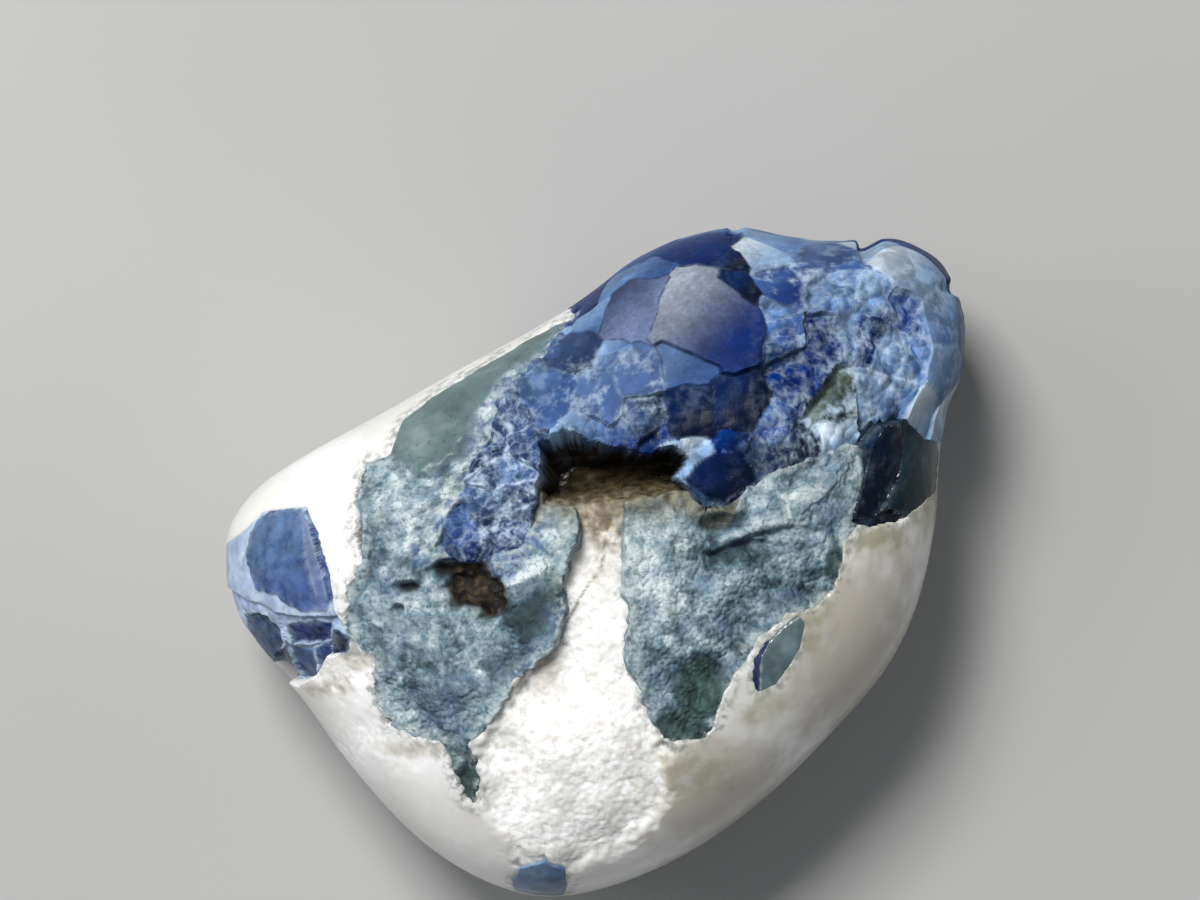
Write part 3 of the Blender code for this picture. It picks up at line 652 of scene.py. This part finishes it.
def close_patch(maker, thickness):
    """Turns an open patch of skin into a closed solid: a rim going in, and a floor."""
    rim = [edge for edge in maker.edges if edge.is_boundary]
    upper = list(dict.fromkeys(vertex for edge in rim for vertex in edge.verts))
    points = np.array([vertex.co for vertex in upper])
    lower = {}
    for vertex, way in zip(upper, pebble_normals(points)):
        lower[vertex] = maker.verts.new(vertex.co - Vector(way) * thickness, vertex)
    for edge in rim:
        start = edge.link_loops[0].vert
        end = edge.other_vert(start)
        maker.faces.new((end, start, lower[start], lower[end]))
    open_edges = [edge for edge in maker.edges if edge.is_boundary]
    floor = bmesh.ops.holes_fill(maker, edges=open_edges, sides=0)["faces"]
    bmesh.ops.triangulate(maker, faces=floor)
    bmesh.ops.recalc_face_normals(maker, faces=maker.faces[:])


def mineral_skin(name, passes, fine_part=None):
    """The part of a unit sphere that a mineral takes on the stone, with fine faces."""
    maker = sphere(START_FINENESS)
    edges, _ = mineral_edges(face_middles(maker))
    others = [face for face, edge in zip(maker.faces, edges[name]) if edge < -SKIN_OVERLAP]
    while others:
        bmesh.ops.delete(maker, geom=others, context="FACES")
        pinched = [
            vertex for vertex in maker.verts if sum(edge.is_boundary for edge in vertex.link_edges) > 2
        ]
        others = list({face for vertex in pinched for face in vertex.link_faces})
    for _ in range(passes):
        refine(maker, lambda points: np.ones(len(points), bool))
    if fine_part:
        refine(maker, fine_part)
    return maker


def schist_mesh(name):
    """One patch of schist, with its pits and ridges, which dives under its neighbours."""
    maker = mineral_skin(name, 3)
    points = stone_points(maker)
    edges, wave = mineral_edges(points)
    x, y, _ = points.T
    edge = edges[name]
    smooth = smooth_step(inside_distance(x, y, SMOOTH_SCHIST) / 0.5 + 0.5 + 0.4 * wave)
    coarse = random_lumps(points, 1.6, 3.0)
    bits, shade, _ = broken_bits(points, 0.38, 5.0)
    flakes = random_lumps(points, 0.42, 9.0)
    grains = random_lumps(points, 0.16, 6.0)
    pits = soft_spots(x, y, wave, SCHIST_PITS)
    calm = 1 - 0.8 * smooth_step(pits / 0.4)
    depth = 0.28 + 0.3 * coarse + calm * (0.07 * flakes + 0.06 * grains + 0.2 * bits)
    depth = depth * (1 - smooth) + 0.03 * smooth
    # The deeper coarse lumps are painted darker: painted shade in the hollows.
    light = 0.22 * flakes - 0.26 * coarse + 0.14 * shade + 0.16 * grains
    for *ends, half_width, height, lighter in SCHIST_RIDGES:
        away = line_distance(x, y, *ends) / half_width + 0.3 * wave
        ridge = 1 - smooth_step(away / 2)
        depth -= height * ridge
        light += lighter * ridge
    tones = soft_spots(x, y, wave, SCHIST_TONES)
    cluster = inside_distance(x, y, CLUSTER)
    depth = np.maximum(depth * (0.35 + 0.65 * smooth_step(edge / 0.8)), 0.02)
    depth += 0.4 * smooth_step((cluster + 1.1 + 0.4 * wave) / 1.1) * (1 - smooth) * smooth_step(6 - y)
    in_cave = smooth_step((inside_distance(x, y, CAVITY) + 0.5) / 0.8)
    depth += pits * (0.85 + 0.3 * coarse) + 0.5 * in_cave + sinking(edge, 1.7 + 2.3 * in_cave)
    kept = {
        "smooth": smooth,
        "light": (light + 1.2 * tones) * (1 - smooth),
        "lobe": np.clip(-1.6 * tones - 0.25, 0, 1),
        "cave": smooth_step((y + 0.4 * wave - 0.8) / 2.0) * (inside_distance(x, y, CAVITY) > -1.3),
        "blue": smooth_step((1.0 + cluster + 0.6 * wave) / 0.9) * (x < 0),
        "frost": smooth_step((0.6 - edge + 0.2 * wave) / 0.6) * (1 - smooth),
        "pit": pits,
    }
    place_skin(maker, points, depth, kept)
    close_patch(maker, PATCH_THICKNESS)
    return maker


def schist_material():
    """Grey-green rock: sage where it is polished, frosted and flecked where it is rough."""
    material, tree = new_material("schist", Specular_IOR_Level=0.35)
    lumps, kept = tree.lumps, tree.kept
    smooth = kept("smooth")
    mottle = lumps(0.9, 7.0, 0.66) * 0.7 + lumps(0.14, 3.0) * 0.3
    mottle = mottle + kept("light") * 0.5
    rock = mottle.ramp(
        (0.25, srgb(28, 42, 50)),
        (0.4, srgb(74, 94, 104)),
        (0.5, srgb(106, 128, 138)),
        (0.61, srgb(142, 160, 167)),
        (0.77, srgb(200, 209, 211)),
    )
    blue = (lumps(1.3, 3.0).step(0.48, 0.66) * 0.35).blend(rock, srgb(98, 120, 152))
    blue = (kept("blue") * lumps(0.6, 4.0).step(0.46, 0.6) * 0.8).blend(blue, srgb(58, 84, 138))
    green = (lumps(1.1, 4.0).step(0.54, 0.7) * 0.4).blend(blue, srgb(88, 106, 90))
    dashes = lumps(0.24, 5.0).step(0.6, 0.68)
    sage = lumps(1.5, 5.0).ramp(
        (0.3, srgb(68, 88, 90)), (0.5, srgb(86, 107, 108)), (0.7, srgb(114, 133, 133))
    )
    polished = (dashes * 0.55).blend(sage, srgb(50, 62, 60))
    specks = (lumps(0.13, 3.0).step(0.58, 0.66) * 0.55).blend(green, srgb(44, 60, 80))
    face = smooth.blend(specks, polished)
    frost = kept("frost") * lumps(0.35, 4.0).step(0.42, 0.62) * 0.6
    rimmed = frost.blend(face, srgb(190, 198, 198))
    moss = lumps(0.5, 5.0).ramp((0.36, srgb(30, 48, 46)), (0.64, srgb(70, 94, 92)))
    darker = kept("lobe").blend(rimmed, moss)
    cave_brown = lumps(0.5, 4.0).ramp((0.38, srgb(74, 68, 50)), (0.64, srgb(140, 134, 112)))
    stained = (kept("cave") * 0.9).blend(darker, cave_brown)
    # Pits are painted near-black brown: brown earth and painted shade in the hollows.
    earth_and_shade = lumps(0.35, 4.0).ramp(
        (0.38, srgb(18, 15, 12)), (0.52, srgb(38, 31, 23)), (0.66, srgb(72, 61, 46))
    )
    pitted = kept("pit").step(0.15, 0.95).blend(stained, earth_and_shade)
    grain = lumps(0.09, 4.0) * (1.0 - smooth)
    paint(
        material,
        Base_Color=pitted,
        Roughness=0.75 - smooth * 0.42,
        Normal=tree.bump(grain + lumps(0.4, 3.0) * 0.6, 0.45, 0.06),
    )
    return material


schist_finish = schist_material()
for schist_node in SCHIST_PATCHES:
    schist = finished_piece(f"{schist_node}_rock", schist_mesh(schist_node), schist_finish)
    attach(schist, "root")
    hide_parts(schist_node)

# The benitoite cluster. The real one is a mass of intergrown blue grains: large ones polished flush
# with the stone at the top, smaller broken ones with glassy faces in the hollow and down the arm.
# Each kind of grain has the colour of its side towards the top left and of its other side. For most
# kinds the top-left side is lighter, a painted sheen of the light from above left; the silvery top left
# of the haze grain is painted sheen.
GRAIN_COLOURS = {
    "haze": ((160, 168, 182), (2, 40, 110)),
    "frosted": ((0, 14, 70), (118, 134, 172)),
    "deep": ((2, 48, 118), (0, 36, 98)),
    "navy": ((6, 36, 88), (4, 18, 46)),
    "mid": ((66, 104, 164), (36, 68, 136)),
    "violet": ((84, 114, 160), (54, 88, 144)),
    "pale": ((126, 158, 196), (84, 120, 172)),
    "white": ((204, 216, 228), (136, 168, 204)),
    "teal": ((58, 84, 126), (36, 58, 98)),
    "dark": ((32, 48, 82), (18, 24, 46)),
    "olive": ((96, 108, 90), (52, 64, 60)),
}
# Grains: x, y, size, depth below the polish, kind
FACE_GRAINS = (
    (4.2, 9.1, 2.3, 0, "haze"), (1.3, 9.5, 1.3, 0, "frosted"), (3.8, 11.9, 1.3, 0, "deep"),
    (2.2, 11, 0.6, 0, "violet"), (-0.1, 9.1, 0.6, 0.05, "pale"), (0.7, 10.4, 0.6, 0, "pale"),
    (5.2, 11.3, 0.4, 0, "navy"), (5.5, 10.2, 0.45, 0.05, "navy"), (6.1, 11.5, 0.9, 0, "white"),
    (6.9, 10.4, 0.75, 0.15, "mid"), (-0.8, 7.9, 0.85, 0.05, "teal"), (0.2, 6.2, 0.9, 0.1, "violet"),
    (-1.9, 6.4, 0.95, 0.1, "violet"), (1.5, 7, 1, 0.05, "violet"), (0.6, 7.8, 0.45, 0.05, "pale"),
    (1.8, 5.5, 0.75, 0.35, "teal"), (3.3, 7.3, 0.75, 0.15, "violet"), (3.6, 5.7, 0.85, 0.5, "navy"),
    (5.4, 5.9, 1.1, 0.45, "navy"), (-0.4, 5, 0.6, 0.5, "pale"), (0.9, 4.7, 0.45, 0.6, "mid"),
    (2.4, 4.5, 0.45, 0.6, "deep"), (4.8, 3.1, 0.85, 0.7, "navy"), (3.7, 4.2, 0.4, 0.7, "white"),
    (4, 2.1, 0.4, 0.9, "teal"), (6.7, 5.3, 0.7, 0.8, "mid"), (7.7, 7.1, 1, 1.1, "deep"),
    (7, 8.4, 0.75, 0.5, "mid"), (6.6, 9.4, 0.4, 0.4, "pale"), (8.7, 8.5, 0.6, 0.9, "deep"),
    (9.6, 8.6, 0.45, 1.1, "pale"), (10.4, 8.5, 0.6, 0.9, "deep"), (9.1, 6.1, 0.75, 1.4, "olive"),
    (9.3, 4.8, 0.6, 1, "white"), (11.4, 7.9, 0.9, 0.8, "pale"), (11, 6.3, 0.85, 0.9, "pale"),
    (11.6, 9.4, 0.6, 0.6, "mid"), (13.2, 9.1, 0.95, 0, "pale"), (13.3, 7.1, 0.95, 0, "pale"),
    (12.4, 5.5, 0.7, 0.2, "white"), (11.9, 11.2, 1.25, 0, "white"), (8.8, 11.5, 1.2, 0, "violet"),
    (8.9, 10.3, 0.85, 0.3, "pale"), (10.4, 10.1, 0.6, 0.3, "pale"), (-3.1, 5.7, 0.6, 0.3, "teal"),
    (-2.8, 4.5, 0.5, 0.35, "teal"), (-4.1, 4.3, 0.5, 0.4, "teal"), (-3.4, 3.4, 0.5, 0.45, "violet"),
    (-3.3, 2.6, 0.4, 0.5, "teal"), (-4, 1.8, 0.55, 0.6, "teal"), (-3, 1.5, 0.4, 0.7, "teal"),
    (-4.8, 1.2, 0.55, 0.6, "mid"), (-3.7, 0.8, 0.4, 0.7, "teal"), (-5.8, 0.5, 0.38, 0.7, "teal"),
    (5.2, 4.5, 0.45, 0.7, "deep"), (6.2, 4, 0.5, 0.8, "teal"), (7.7, 4.5, 0.55, 0.9, "dark"),
)
SIDE_GRAINS = 80
SIDE_GRAIN_TRIES = 6000
GRAIN_SPACING = 0.85
SIDE_GRAIN_SIZES = (0.8, 1.5)
SIDE_GRAIN_KINDS = ("mid", "deep", "violet", "pale", "mid", "teal", "white", "pale")
LINED_KINDS = ("haze", "frosted", "deep", "navy")
POLISHED = 0.2
COLOUR_SHARE = 0.68
FINE_HEIGHT = RIM_HEIGHT + 2.8
COLOUR_WAY = Vector((0.68, -0.73, 0.0))
# Where white veils lie between the grains
VEILED_PLACES = (
    (10.8, 8.5, 4.2, 4.5, 0.75), (9, 5, 3.5, 2, 0.9), (-3.6, 3, 2.4, 4.5, 1), (1.2, 6.4, 3.8, 1.9, 0.7),
    (6.5, 7, 1.3, 3.6, 0.7), (6.5, 10.8, 2.5, 1.2, 0.8),
)
# Notches in the rim
RIM_NOTCHES = ((10.3, 11.9, 0.45, 0.9, 0.5), (13.6, 10.3, 0.9, 0.3, 0.25), (5.3, 12.3, 0.3, 0.8, 0.15))


def surface_point(x, y):
    """The polished face over x, y."""
    arm_x, arm_y = x - PEBBLE_MIDDLE[0], y - PEBBLE_MIDDLE[1]
    share = math.hypot(arm_x, arm_y) / float(outline_radius(math.atan2(arm_y, arm_x)))
    rise = max(1 - share**ROUNDNESS, 0.0001) ** (1 / ROUNDNESS)
    return Vector((x, y, RIM_HEIGHT + DOME_HEIGHT * rise))


def grain_seeds(chooser):
    """Every grain's place, size, depth and kind, on the face and round the back."""
    seeds = [(surface_point(x, y), size, drop, kind) for x, y, size, drop, kind in FACE_GRAINS]
    wanted = len(seeds) + SIDE_GRAINS
    ways = np.array([[chooser.gauss(0, 1) for _ in range(3)] for _ in range(SIDE_GRAIN_TRIES)])
    ways /= np.linalg.norm(ways, axis=1)[:, None]
    spots = pebble_points(ways)
    edges, _ = mineral_edges(spots)
    free = (ways[:, 2] < 0.42) & (spots[:, 2] > 0.3) & (edges["benitoite_cluster"] > -0.3)
    for spot in spots[free]:
        size = chooser.uniform(*SIDE_GRAIN_SIZES)
        drop = chooser.choice((0.0, 0.0, 0.04, 0.08))
        kind = chooser.choice(SIDE_GRAIN_KINDS)
        gaps = [(Vector(spot) - seed[0]).length / (size + seed[1]) for seed in seeds]
        if len(seeds) < wanted and min(gaps) > GRAIN_SPACING:
            seeds.append((Vector(spot), size, drop, kind))
    return seeds


def two_nearest_grains(points, spots, sizes):
    """The two grains nearest to each point, and the distance to their border, a plane that splits
    the gap in the ratio of the two sizes."""
    best = np.full((2, len(points)), -50.0)
    owner = np.zeros((2, len(points)), int)
    for index, size in enumerate(sizes):
        apart = spots - spots[index]
        gaps = np.linalg.norm(apart, axis=1)
        near = np.flatnonzero((gaps > 0) & (gaps < 3.2 * np.maximum(sizes, size) + 1))
        offset = points - spots[index]
        close = np.flatnonzero((offset**2).sum(axis=1) < (2.4 * size + 1.4) ** 2)
        ways = apart[near] / gaps[near][:, None]
        limits = gaps[near] * size / (size + sizes[near])
        score = (limits - offset[close] @ ways.T).min(axis=1)
        first = score > best[0, close]
        pushed = close[first]
        best[1, pushed], owner[1, pushed] = best[0, pushed], owner[0, pushed]
        best[0, pushed], owner[0, pushed] = score[first], index
        second = ~first & (score > best[1, close])
        best[1, close[second]], owner[1, close[second]] = score[second], index
    return owner, (best[0] - best[1]) / 2


def linear(colours):
    """Colours as the nodes take them, less the share that the gloss adds to them."""
    return COLOUR_SHARE * np.array([srgb(*colour)[:3] for colour in colours])


def grain_relief(points, seeds, chooser):
    """Depth, colour, glassiness and border distance of the grains at each point."""
    warp = np.column_stack([random_lumps(points, 0.8, shift) for shift in (11.0, 12.0, 13.0)])
    spots, sizes, drops, names = (np.array(column) for column in zip(*seeds))
    owner, border = two_nearest_grains(points + 0.13 * warp, spots, sizes)
    broken = (drops > POLISHED) * np.where(names == "navy", 0.2, 1.0)
    leans = np.array([[chooser.uniform(-1, 1) for _ in range(3)] for _ in seeds])
    leans *= (0.22 * broken + 0.012)[:, None]
    lit, deep = (linear([GRAIN_COLOURS[name][side] for name in names]) for side in (0, 1))
    floor, weights = np.zeros((2, len(points)))
    for spot, size, drop, _ in seeds:
        near = 1 / (np.linalg.norm(points - np.array(spot), axis=1) / size + 0.25) ** 4
        floor += near * drop
        weights += near
    floor /= weights
    share = smooth_step(0.5 + border / 0.1)
    depth, rough, tint = 0, 0, 0
    for rank, weight in ((0, share), (1, 1 - share)):
        grain = owner[rank]
        offset = points - spots[grain]
        level = np.where(broken[grain] > 0, 0.75 * floor + 0.25 * drops[grain], drops[grain])
        depth = depth + weight * (level + (offset * leans[grain]).sum(axis=1))
        rough = rough + weight * broken[grain]
        # Each grain fades from its top-left colour to its other colour: painted sheen on the lighter
        # top-left side, over the grain's own blue.
        fade = smooth_step(0.6 + 0.6 * (offset @ np.array(COLOUR_WAY)) / sizes[grain])[:, None]
        tint = tint + weight[:, None] * (lit[grain] * (1 - fade) + deep[grain] * fade)
    lined = np.isin(names, LINED_KINDS).astype(float)
    return depth, rough, tint, border, lined[owner].max(axis=0)


def cluster_mesh():
    """The blue part of the stone's skin, on which every grain has its own face and colour."""

    def on_face(points):
        return points[:, 2] > FINE_HEIGHT

    chooser = random.Random(7)
    seeds = grain_seeds(chooser)
    maker = mineral_skin("benitoite_cluster", 2, on_face)
    points = stone_points(maker)
    edges, wave = mineral_edges(points)
    x, y, z = points.T
    edge = edges["benitoite_cluster"]
    depth, rough, tint, border, lined = grain_relief(points, seeds, chooser)
    up = smooth_step((z - RIM_HEIGHT) / 1.5)
    rough = np.maximum(rough, smooth_step((0.35 - edge + 0.2 * wave) / 0.35) * 0.8) * up
    coarse, shade, crack = broken_bits(points, 0.95, 5.0)
    fine, fine_shade, fine_crack = broken_bits(points, 0.42, 6.0)
    soft = random_lumps(points, 0.6, 18.0)
    depth += rough * (0.6 * coarse + 0.6 * fine + 0.14 * soft)
    groove = (1 - smooth_step(border / 0.06)) * lined
    depth += 0.02 * groove * (1 - rough)
    depth += soft_spots(x, y, wave, RIM_NOTCHES) + 0.03 * random_lumps(points, 1.4, 9.0) * (1 - rough)
    lobes = smooth_step((x - 7.5) / 2) * 0.14 * random_lumps(points, 2.0, 3.3)
    in_cave = (inside_distance(x, y, CAVITY) > -0.5) & (x > -3.2)
    depth = np.maximum(depth + lobes, -0.03) + sinking(edge, np.where(in_cave, 5.0, 1.7))
    cave = in_cave * smooth_step((depth - 0.8) / 0.5)
    veil_here = soft_spots(x, y, 0.3 * wave, VEILED_PLACES)
    mist = random_lumps(points, 0.8, 14.0) + 0.7 * random_lumps(points, 0.3, 17.0)
    mist = smooth_step(mist + 0.5 * random_lumps(points, 0.12, 20.0) + 0.3)
    rim = smooth_step((0.13 - border + 0.1 * wave) / 0.13) * (1 - 0.7 * lined)
    cracks = smooth_step((0.12 - np.minimum(crack, 2 * fine_crack)) / 0.12) * rough
    veil = veil_here * np.clip((0.5 + 0.3 * rough) * rim + 0.75 * mist + 0.4 * cracks, 0, 1)
    veil = np.maximum(veil, 0.8 * smooth_step((0.3 - edge + 0.3 * wave) / 0.3) * mist)
    veil = veil * (1 - cave) * (1 - 0.9 * lined * (1 - rough))
    shades = 0.5 * shade + (0.55 * fine_shade + 0.35 * soft) * rough
    shades = shades * (1 - 0.85 * lined * (1 - rough)) + 0.45 * random_lumps(points, 1.1, 15.0)
    shades += 0.3 * random_lumps(points, 0.38, 16.0)
    shades += 0.5 * lined * random_lumps(points, 0.13, 19.0)
    # Grains sunk deep in the cavity are painted near-black brown: brown stain and painted shade of the
    # hollow.
    tint = tint * np.exp(0.6 * shades)[:, None] * (1 - cave[:, None])
    tint = tint + cave[:, None] * np.array(srgb(34, 27, 20)[:3])
    kept = {"veil": veil, "gloss": rough, "groove": groove * (1 - 0.7 * rough)}
    place_skin(maker, points, depth, kept, tint)
    close_patch(maker, PATCH_THICKNESS)
    return maker


def benitoite_material(name):
    """Glassy blue: the grain's own colour, with pale veils inside it and along its edges."""
    material, tree = new_material(
        name,
        Specular_IOR_Level=0.05,
        IOR=1.76,
        Subsurface_Weight=0.3,
        Subsurface_Radius=(0.6, 0.6, 0.6),
        Subsurface_Scale=0.0004,
    )
    lumps, kept = tree.lumps, tree.kept
    gloss = kept("gloss")
    cloud = lumps(0.7, 6.0, 0.66).step(0.5, 0.78) * (gloss * 0.3 + 0.08)
    clouded = cloud.blend(kept("tint"), srgb(110, 138, 186))
    veil = kept("veil") * lumps(0.4, 6.0, 0.68).step(0.34, 0.6) * 0.9
    veiled = veil.blend(clouded, srgb(182, 202, 220))
    lined = (kept("groove") * lumps(0.5, 2.0).step(0.36, 0.54) * 0.75).blend(veiled, srgb(20, 24, 60))
    paint(
        material,
        Base_Color=lined,
        Roughness=0.34 - gloss * 0.08 + lumps(0.4, 3.0) * 0.14,
        Normal=tree.bump(lumps(0.07, 2.0) + lumps(0.4, 3.0) * 0.5, 0.45, 0.025),
    )
    return material


grain_finish = benitoite_material("benitoite")
cluster = finished_piece("benitoite_grains", cluster_mesh(), grain_finish)
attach(cluster, "root")
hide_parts("benitoite_cluster")

# The four single crystals, grown into the white. The left one is polished flush in a pale veil and
# broken away below in glassy steps, the dark one is near-black glass, the other two are small.
LEFT_FACES = (
    # Corners of each face, its depth, its lean to the right and upwards, its two colours
    (((-12.9, 1.1), (-12.5, 1.7), (-11.9, 1.95), (-11.2, 2.05), (-10.9, 1.95), (-10.7, 0.3),
      (-10.3, -1.4), (-10.35, -1.82), (-10.9, -1.85), (-11.6, -1.5), (-11.85, -1.25),
      (-12.7, -1), (-13.1, 0.2)),
     0, (0, 0), (74, 104, 148), (58, 88, 148)),
    # A strip along the right edge, in lighter grey-violet: a painted sheen band.
    (((-11, 2), (-10.75, 1.85), (-10.3, 0.3), (-9.85, -1.4), (-10, -1.8), (-10.45, -1.8),
      (-10.4, -1.4), (-10.8, 0.3)),
     0, (0, 0), (104, 122, 158), (92, 112, 162)),
    (((-10.75, 1.9), (-10.55, 2), (-10.2, 1), (-9.7, -0.7), (-9.65, -1.5), (-9.85, -1.4),
      (-10.3, 0.3)),
     0.22, (0.35, 0), (88, 124, 182), (36, 62, 128)),
    (((-11.75, -2.35), (-10.6, -2.15), (-9.9, -2.25), (-10, -2.9), (-10.8, -3), (-11.5, -3.1)),
     0.4, (0, 0.3), (24, 44, 112), (16, 30, 88)),
    (((-13.3, -2), (-12.7, -2), (-12.1, -2.4), (-11.9, -3.2), (-12.3, -3.9), (-13.2, -3.5)),
     0.3, (-0.2, -0.2), (50, 82, 122), (30, 54, 92)),
    (((-11.7, -3.2), (-10.8, -3.3), (-10.75, -4.6), (-11.2, -4.8), (-11.6, -4.2)),
     0.6, (0.1, 0.25), (52, 80, 146), (38, 60, 124)),
    (((-10.7, -3.25), (-9.95, -3), (-10, -3.7), (-10.6, -4.6)),
     0.55, (-0.25, 0.2), (38, 62, 132), (22, 42, 106)),
    (((-12.3, -3.4), (-11.8, -3.3), (-11.6, -4.5), (-12.2, -4.6)),
     0.55, (0.3, 0.3), (28, 46, 104), (18, 30, 78)),
    (((-9.85, -2.5), (-9.1, -2.8), (-9.3, -3.4), (-9.9, -3.5)),
     0.25, (0.1, 0.1), (40, 36, 66), (22, 18, 40)),
)
DARK_FACES = (
    (((10.2, 4.6), (10.7, 5), (11.3, 5.1), (11.5, 4.4), (11.3, 3), (10.9, 2.2), (10.3, 1.6),
      (9.7, 1.7), (9.9, 2.4), (10.2, 3.6)),
     0.1, (-0.06, 0.1), (4, 26, 52), (2, 12, 26)),
    (((11.5, 4.8), (12, 4.9), (12.9, 4.4), (12.95, 3.2), (12.5, 2.2), (11.7, 1.6), (10.9, 2.1),
      (11.4, 3)),
     0.04, (0.05, 0), (26, 56, 66), (10, 32, 42)),
    (((9.3, 1.6), (10.3, 1.55), (10.9, 1.95), (11.7, 1.6), (11.3, 1.25), (10.2, 1.15)),
     0.22, (0, -0.2), (12, 28, 50), (8, 16, 28)),
)
LENS_FACES = (
    (((6.1, -3.4), (6.5, -2.8), (7.1, -2.3), (7.8, -1.8), (7.9, -2.3), (7.7, -3.2), (7.2, -4),
      (6.6, -4.7), (6.1, -4.9)),
     0, (0, 0), (142, 164, 164), (106, 134, 146)),
    (((5.6, -3.5), (6.1, -2.9), (6.6, -2.4), (6.4, -3), (6.1, -3.7), (6.1, -4.9), (5.5, -4.6)),
     0.02, (0, 0), (56, 78, 134), (36, 56, 112)),
)
FOOT_FACES = (
    (((-3.2, -11.9), (-2.8, -11.4), (-1.9, -11.1), (-1.1, -11.4), (-1, -12.1), (-1.6, -13.5),
      (-2.8, -13.5)),
     0, (0, 0), (122, 154, 194), (82, 112, 160)),
)
SINGLE_CRYSTALS = {
    "benitoite_left": (LEFT_FACES, "benitoite", 3, 0.85, (142, 160, 190), 0),
    "dark_crystal": (DARK_FACES, "dark_benitoite", 3, 0.06, (10, 26, 40), 0.05),
    "benitoite_lower": (LENS_FACES, "benitoite", 4, 0.3, (150, 160, 166), 0.3),
    "benitoite_foot": (FOOT_FACES, "benitoite", 4, 0.45, (150, 172, 202), 0.1),
}


def single_crystal_mesh(name, faces, passes, veiled, border_colour):
    """A crystal's part of the skin, with each of its faces at its own depth and lean."""
    maker = mineral_skin(name, passes)
    points = stone_points(maker)
    edges, wave = mineral_edges(points)
    x, y, _ = points.T
    edge = edges[name]
    warp = 0.07 * wave + 0.07 * random_lumps(points, 0.25, 7.0)
    scores = np.array([inside_distance(x, y, face[0]) + warp for face in faces])
    best = scores.argmax(axis=0)
    top = scores.max(axis=0)
    inside = smooth_step(top / 0.08 + 0.5)
    middles = np.array([np.mean(face[0], axis=0) for face in faces])[best]
    offset = np.column_stack([x, y]) - middles
    drops = np.array([face[1] for face in faces])[best]
    leans = np.array([face[2] for face in faces])[best]
    lit = linear([face[3] for face in faces])[best]
    deep = linear([face[4] for face in faces])[best]
    # Each face fades from its top-left colour to its other colour: partly the crystal's own tone,
    # partly painted sheen on the top-left side.
    fade = smooth_step(0.5 + 0.35 * (offset @ np.array(COLOUR_WAY[:2])))[:, None]
    bits, shade, _ = broken_bits(points, 0.35, 5.0)
    broken = smooth_step((drops - 0.05) / 0.15)
    around = np.where(broken > 0.5, drops * 0.75, 0.05)
    depth = inside * (drops - (offset * leans).sum(axis=1)) + (1 - inside) * around
    depth += (0.3 + 0.7 * (1 - inside)) * broken * 0.5 * bits + 0.02 * random_lumps(points, 0.8, 2.0)
    depth = np.maximum(depth, -0.02) + sinking(edge, 0.9)
    border = np.array(srgb(*border_colour)[:3])
    tint = (lit * (1 - fade) + deep * fade) * np.exp(0.45 * random_lumps(points, 0.9, 5.0))[:, None]
    tint *= np.exp(0.35 * random_lumps(points, 0.3, 8.0) + 0.3 * broken * shade)[:, None]
    rim = border * np.exp(0.5 * random_lumps(points, 0.6, 6.0))[:, None]
    tint = tint * inside[:, None] + rim * (1 - inside[:, None])
    near_rim = smooth_step((0.22 - np.abs(top) + 0.1 * wave) / 0.22)
    veil = veiled * (0.25 * near_rim + 0.9 * (1 - inside) * smooth_step(0.6 + wave) + 0.12)
    kept = {"veil": veil, "gloss": broken, "groove": 0.5 * smooth_step((0.05 - top) / 0.05) * inside}
    place_skin(maker, points, depth, kept, tint)
    close_patch(maker, CRYSTAL_THICKNESS)
    return maker


def clear_material(name, transmission):
    """Dark or pale glass with a little cloud inside."""
    material, tree = new_material(
        name, IOR=1.76, Specular_IOR_Level=0.07, Transmission_Weight=transmission
    )
    lumps, kept = tree.lumps, tree.kept
    cloud = lumps(0.8, 5.0).step(0.48, 0.76) * 0.25
    clouded = cloud.blend(kept("tint"), srgb(120, 140, 160))
    veiled = (kept("veil") * lumps(0.3, 4.0).step(0.35, 0.6)).blend(clouded, srgb(186, 198, 210))
    paint(
        material,
        Base_Color=veiled,
        Roughness=lumps(0.5, 3.0) * 0.14 + 0.08,
        Normal=tree.bump(lumps(0.3, 3.0), 0.25, 0.03),
    )
    return material


for crystal_node, crystal in SINGLE_CRYSTALS.items():
    crystal_faces, crystal_slot, crystal_passes, crystal_veil, border_tone, clearness = crystal
    crystal_finish = grain_finish
    if clearness:
        crystal_finish = clear_material(f"{crystal_node}_glass", clearness)
    crystal_skin = single_crystal_mesh(
        crystal_node, crystal_faces, crystal_passes, crystal_veil, border_tone
    )
    single_crystal = finished_piece(f"{crystal_node}_polished", crystal_skin, crystal_finish)
    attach(single_crystal, "root")
    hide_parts(crystal_node)
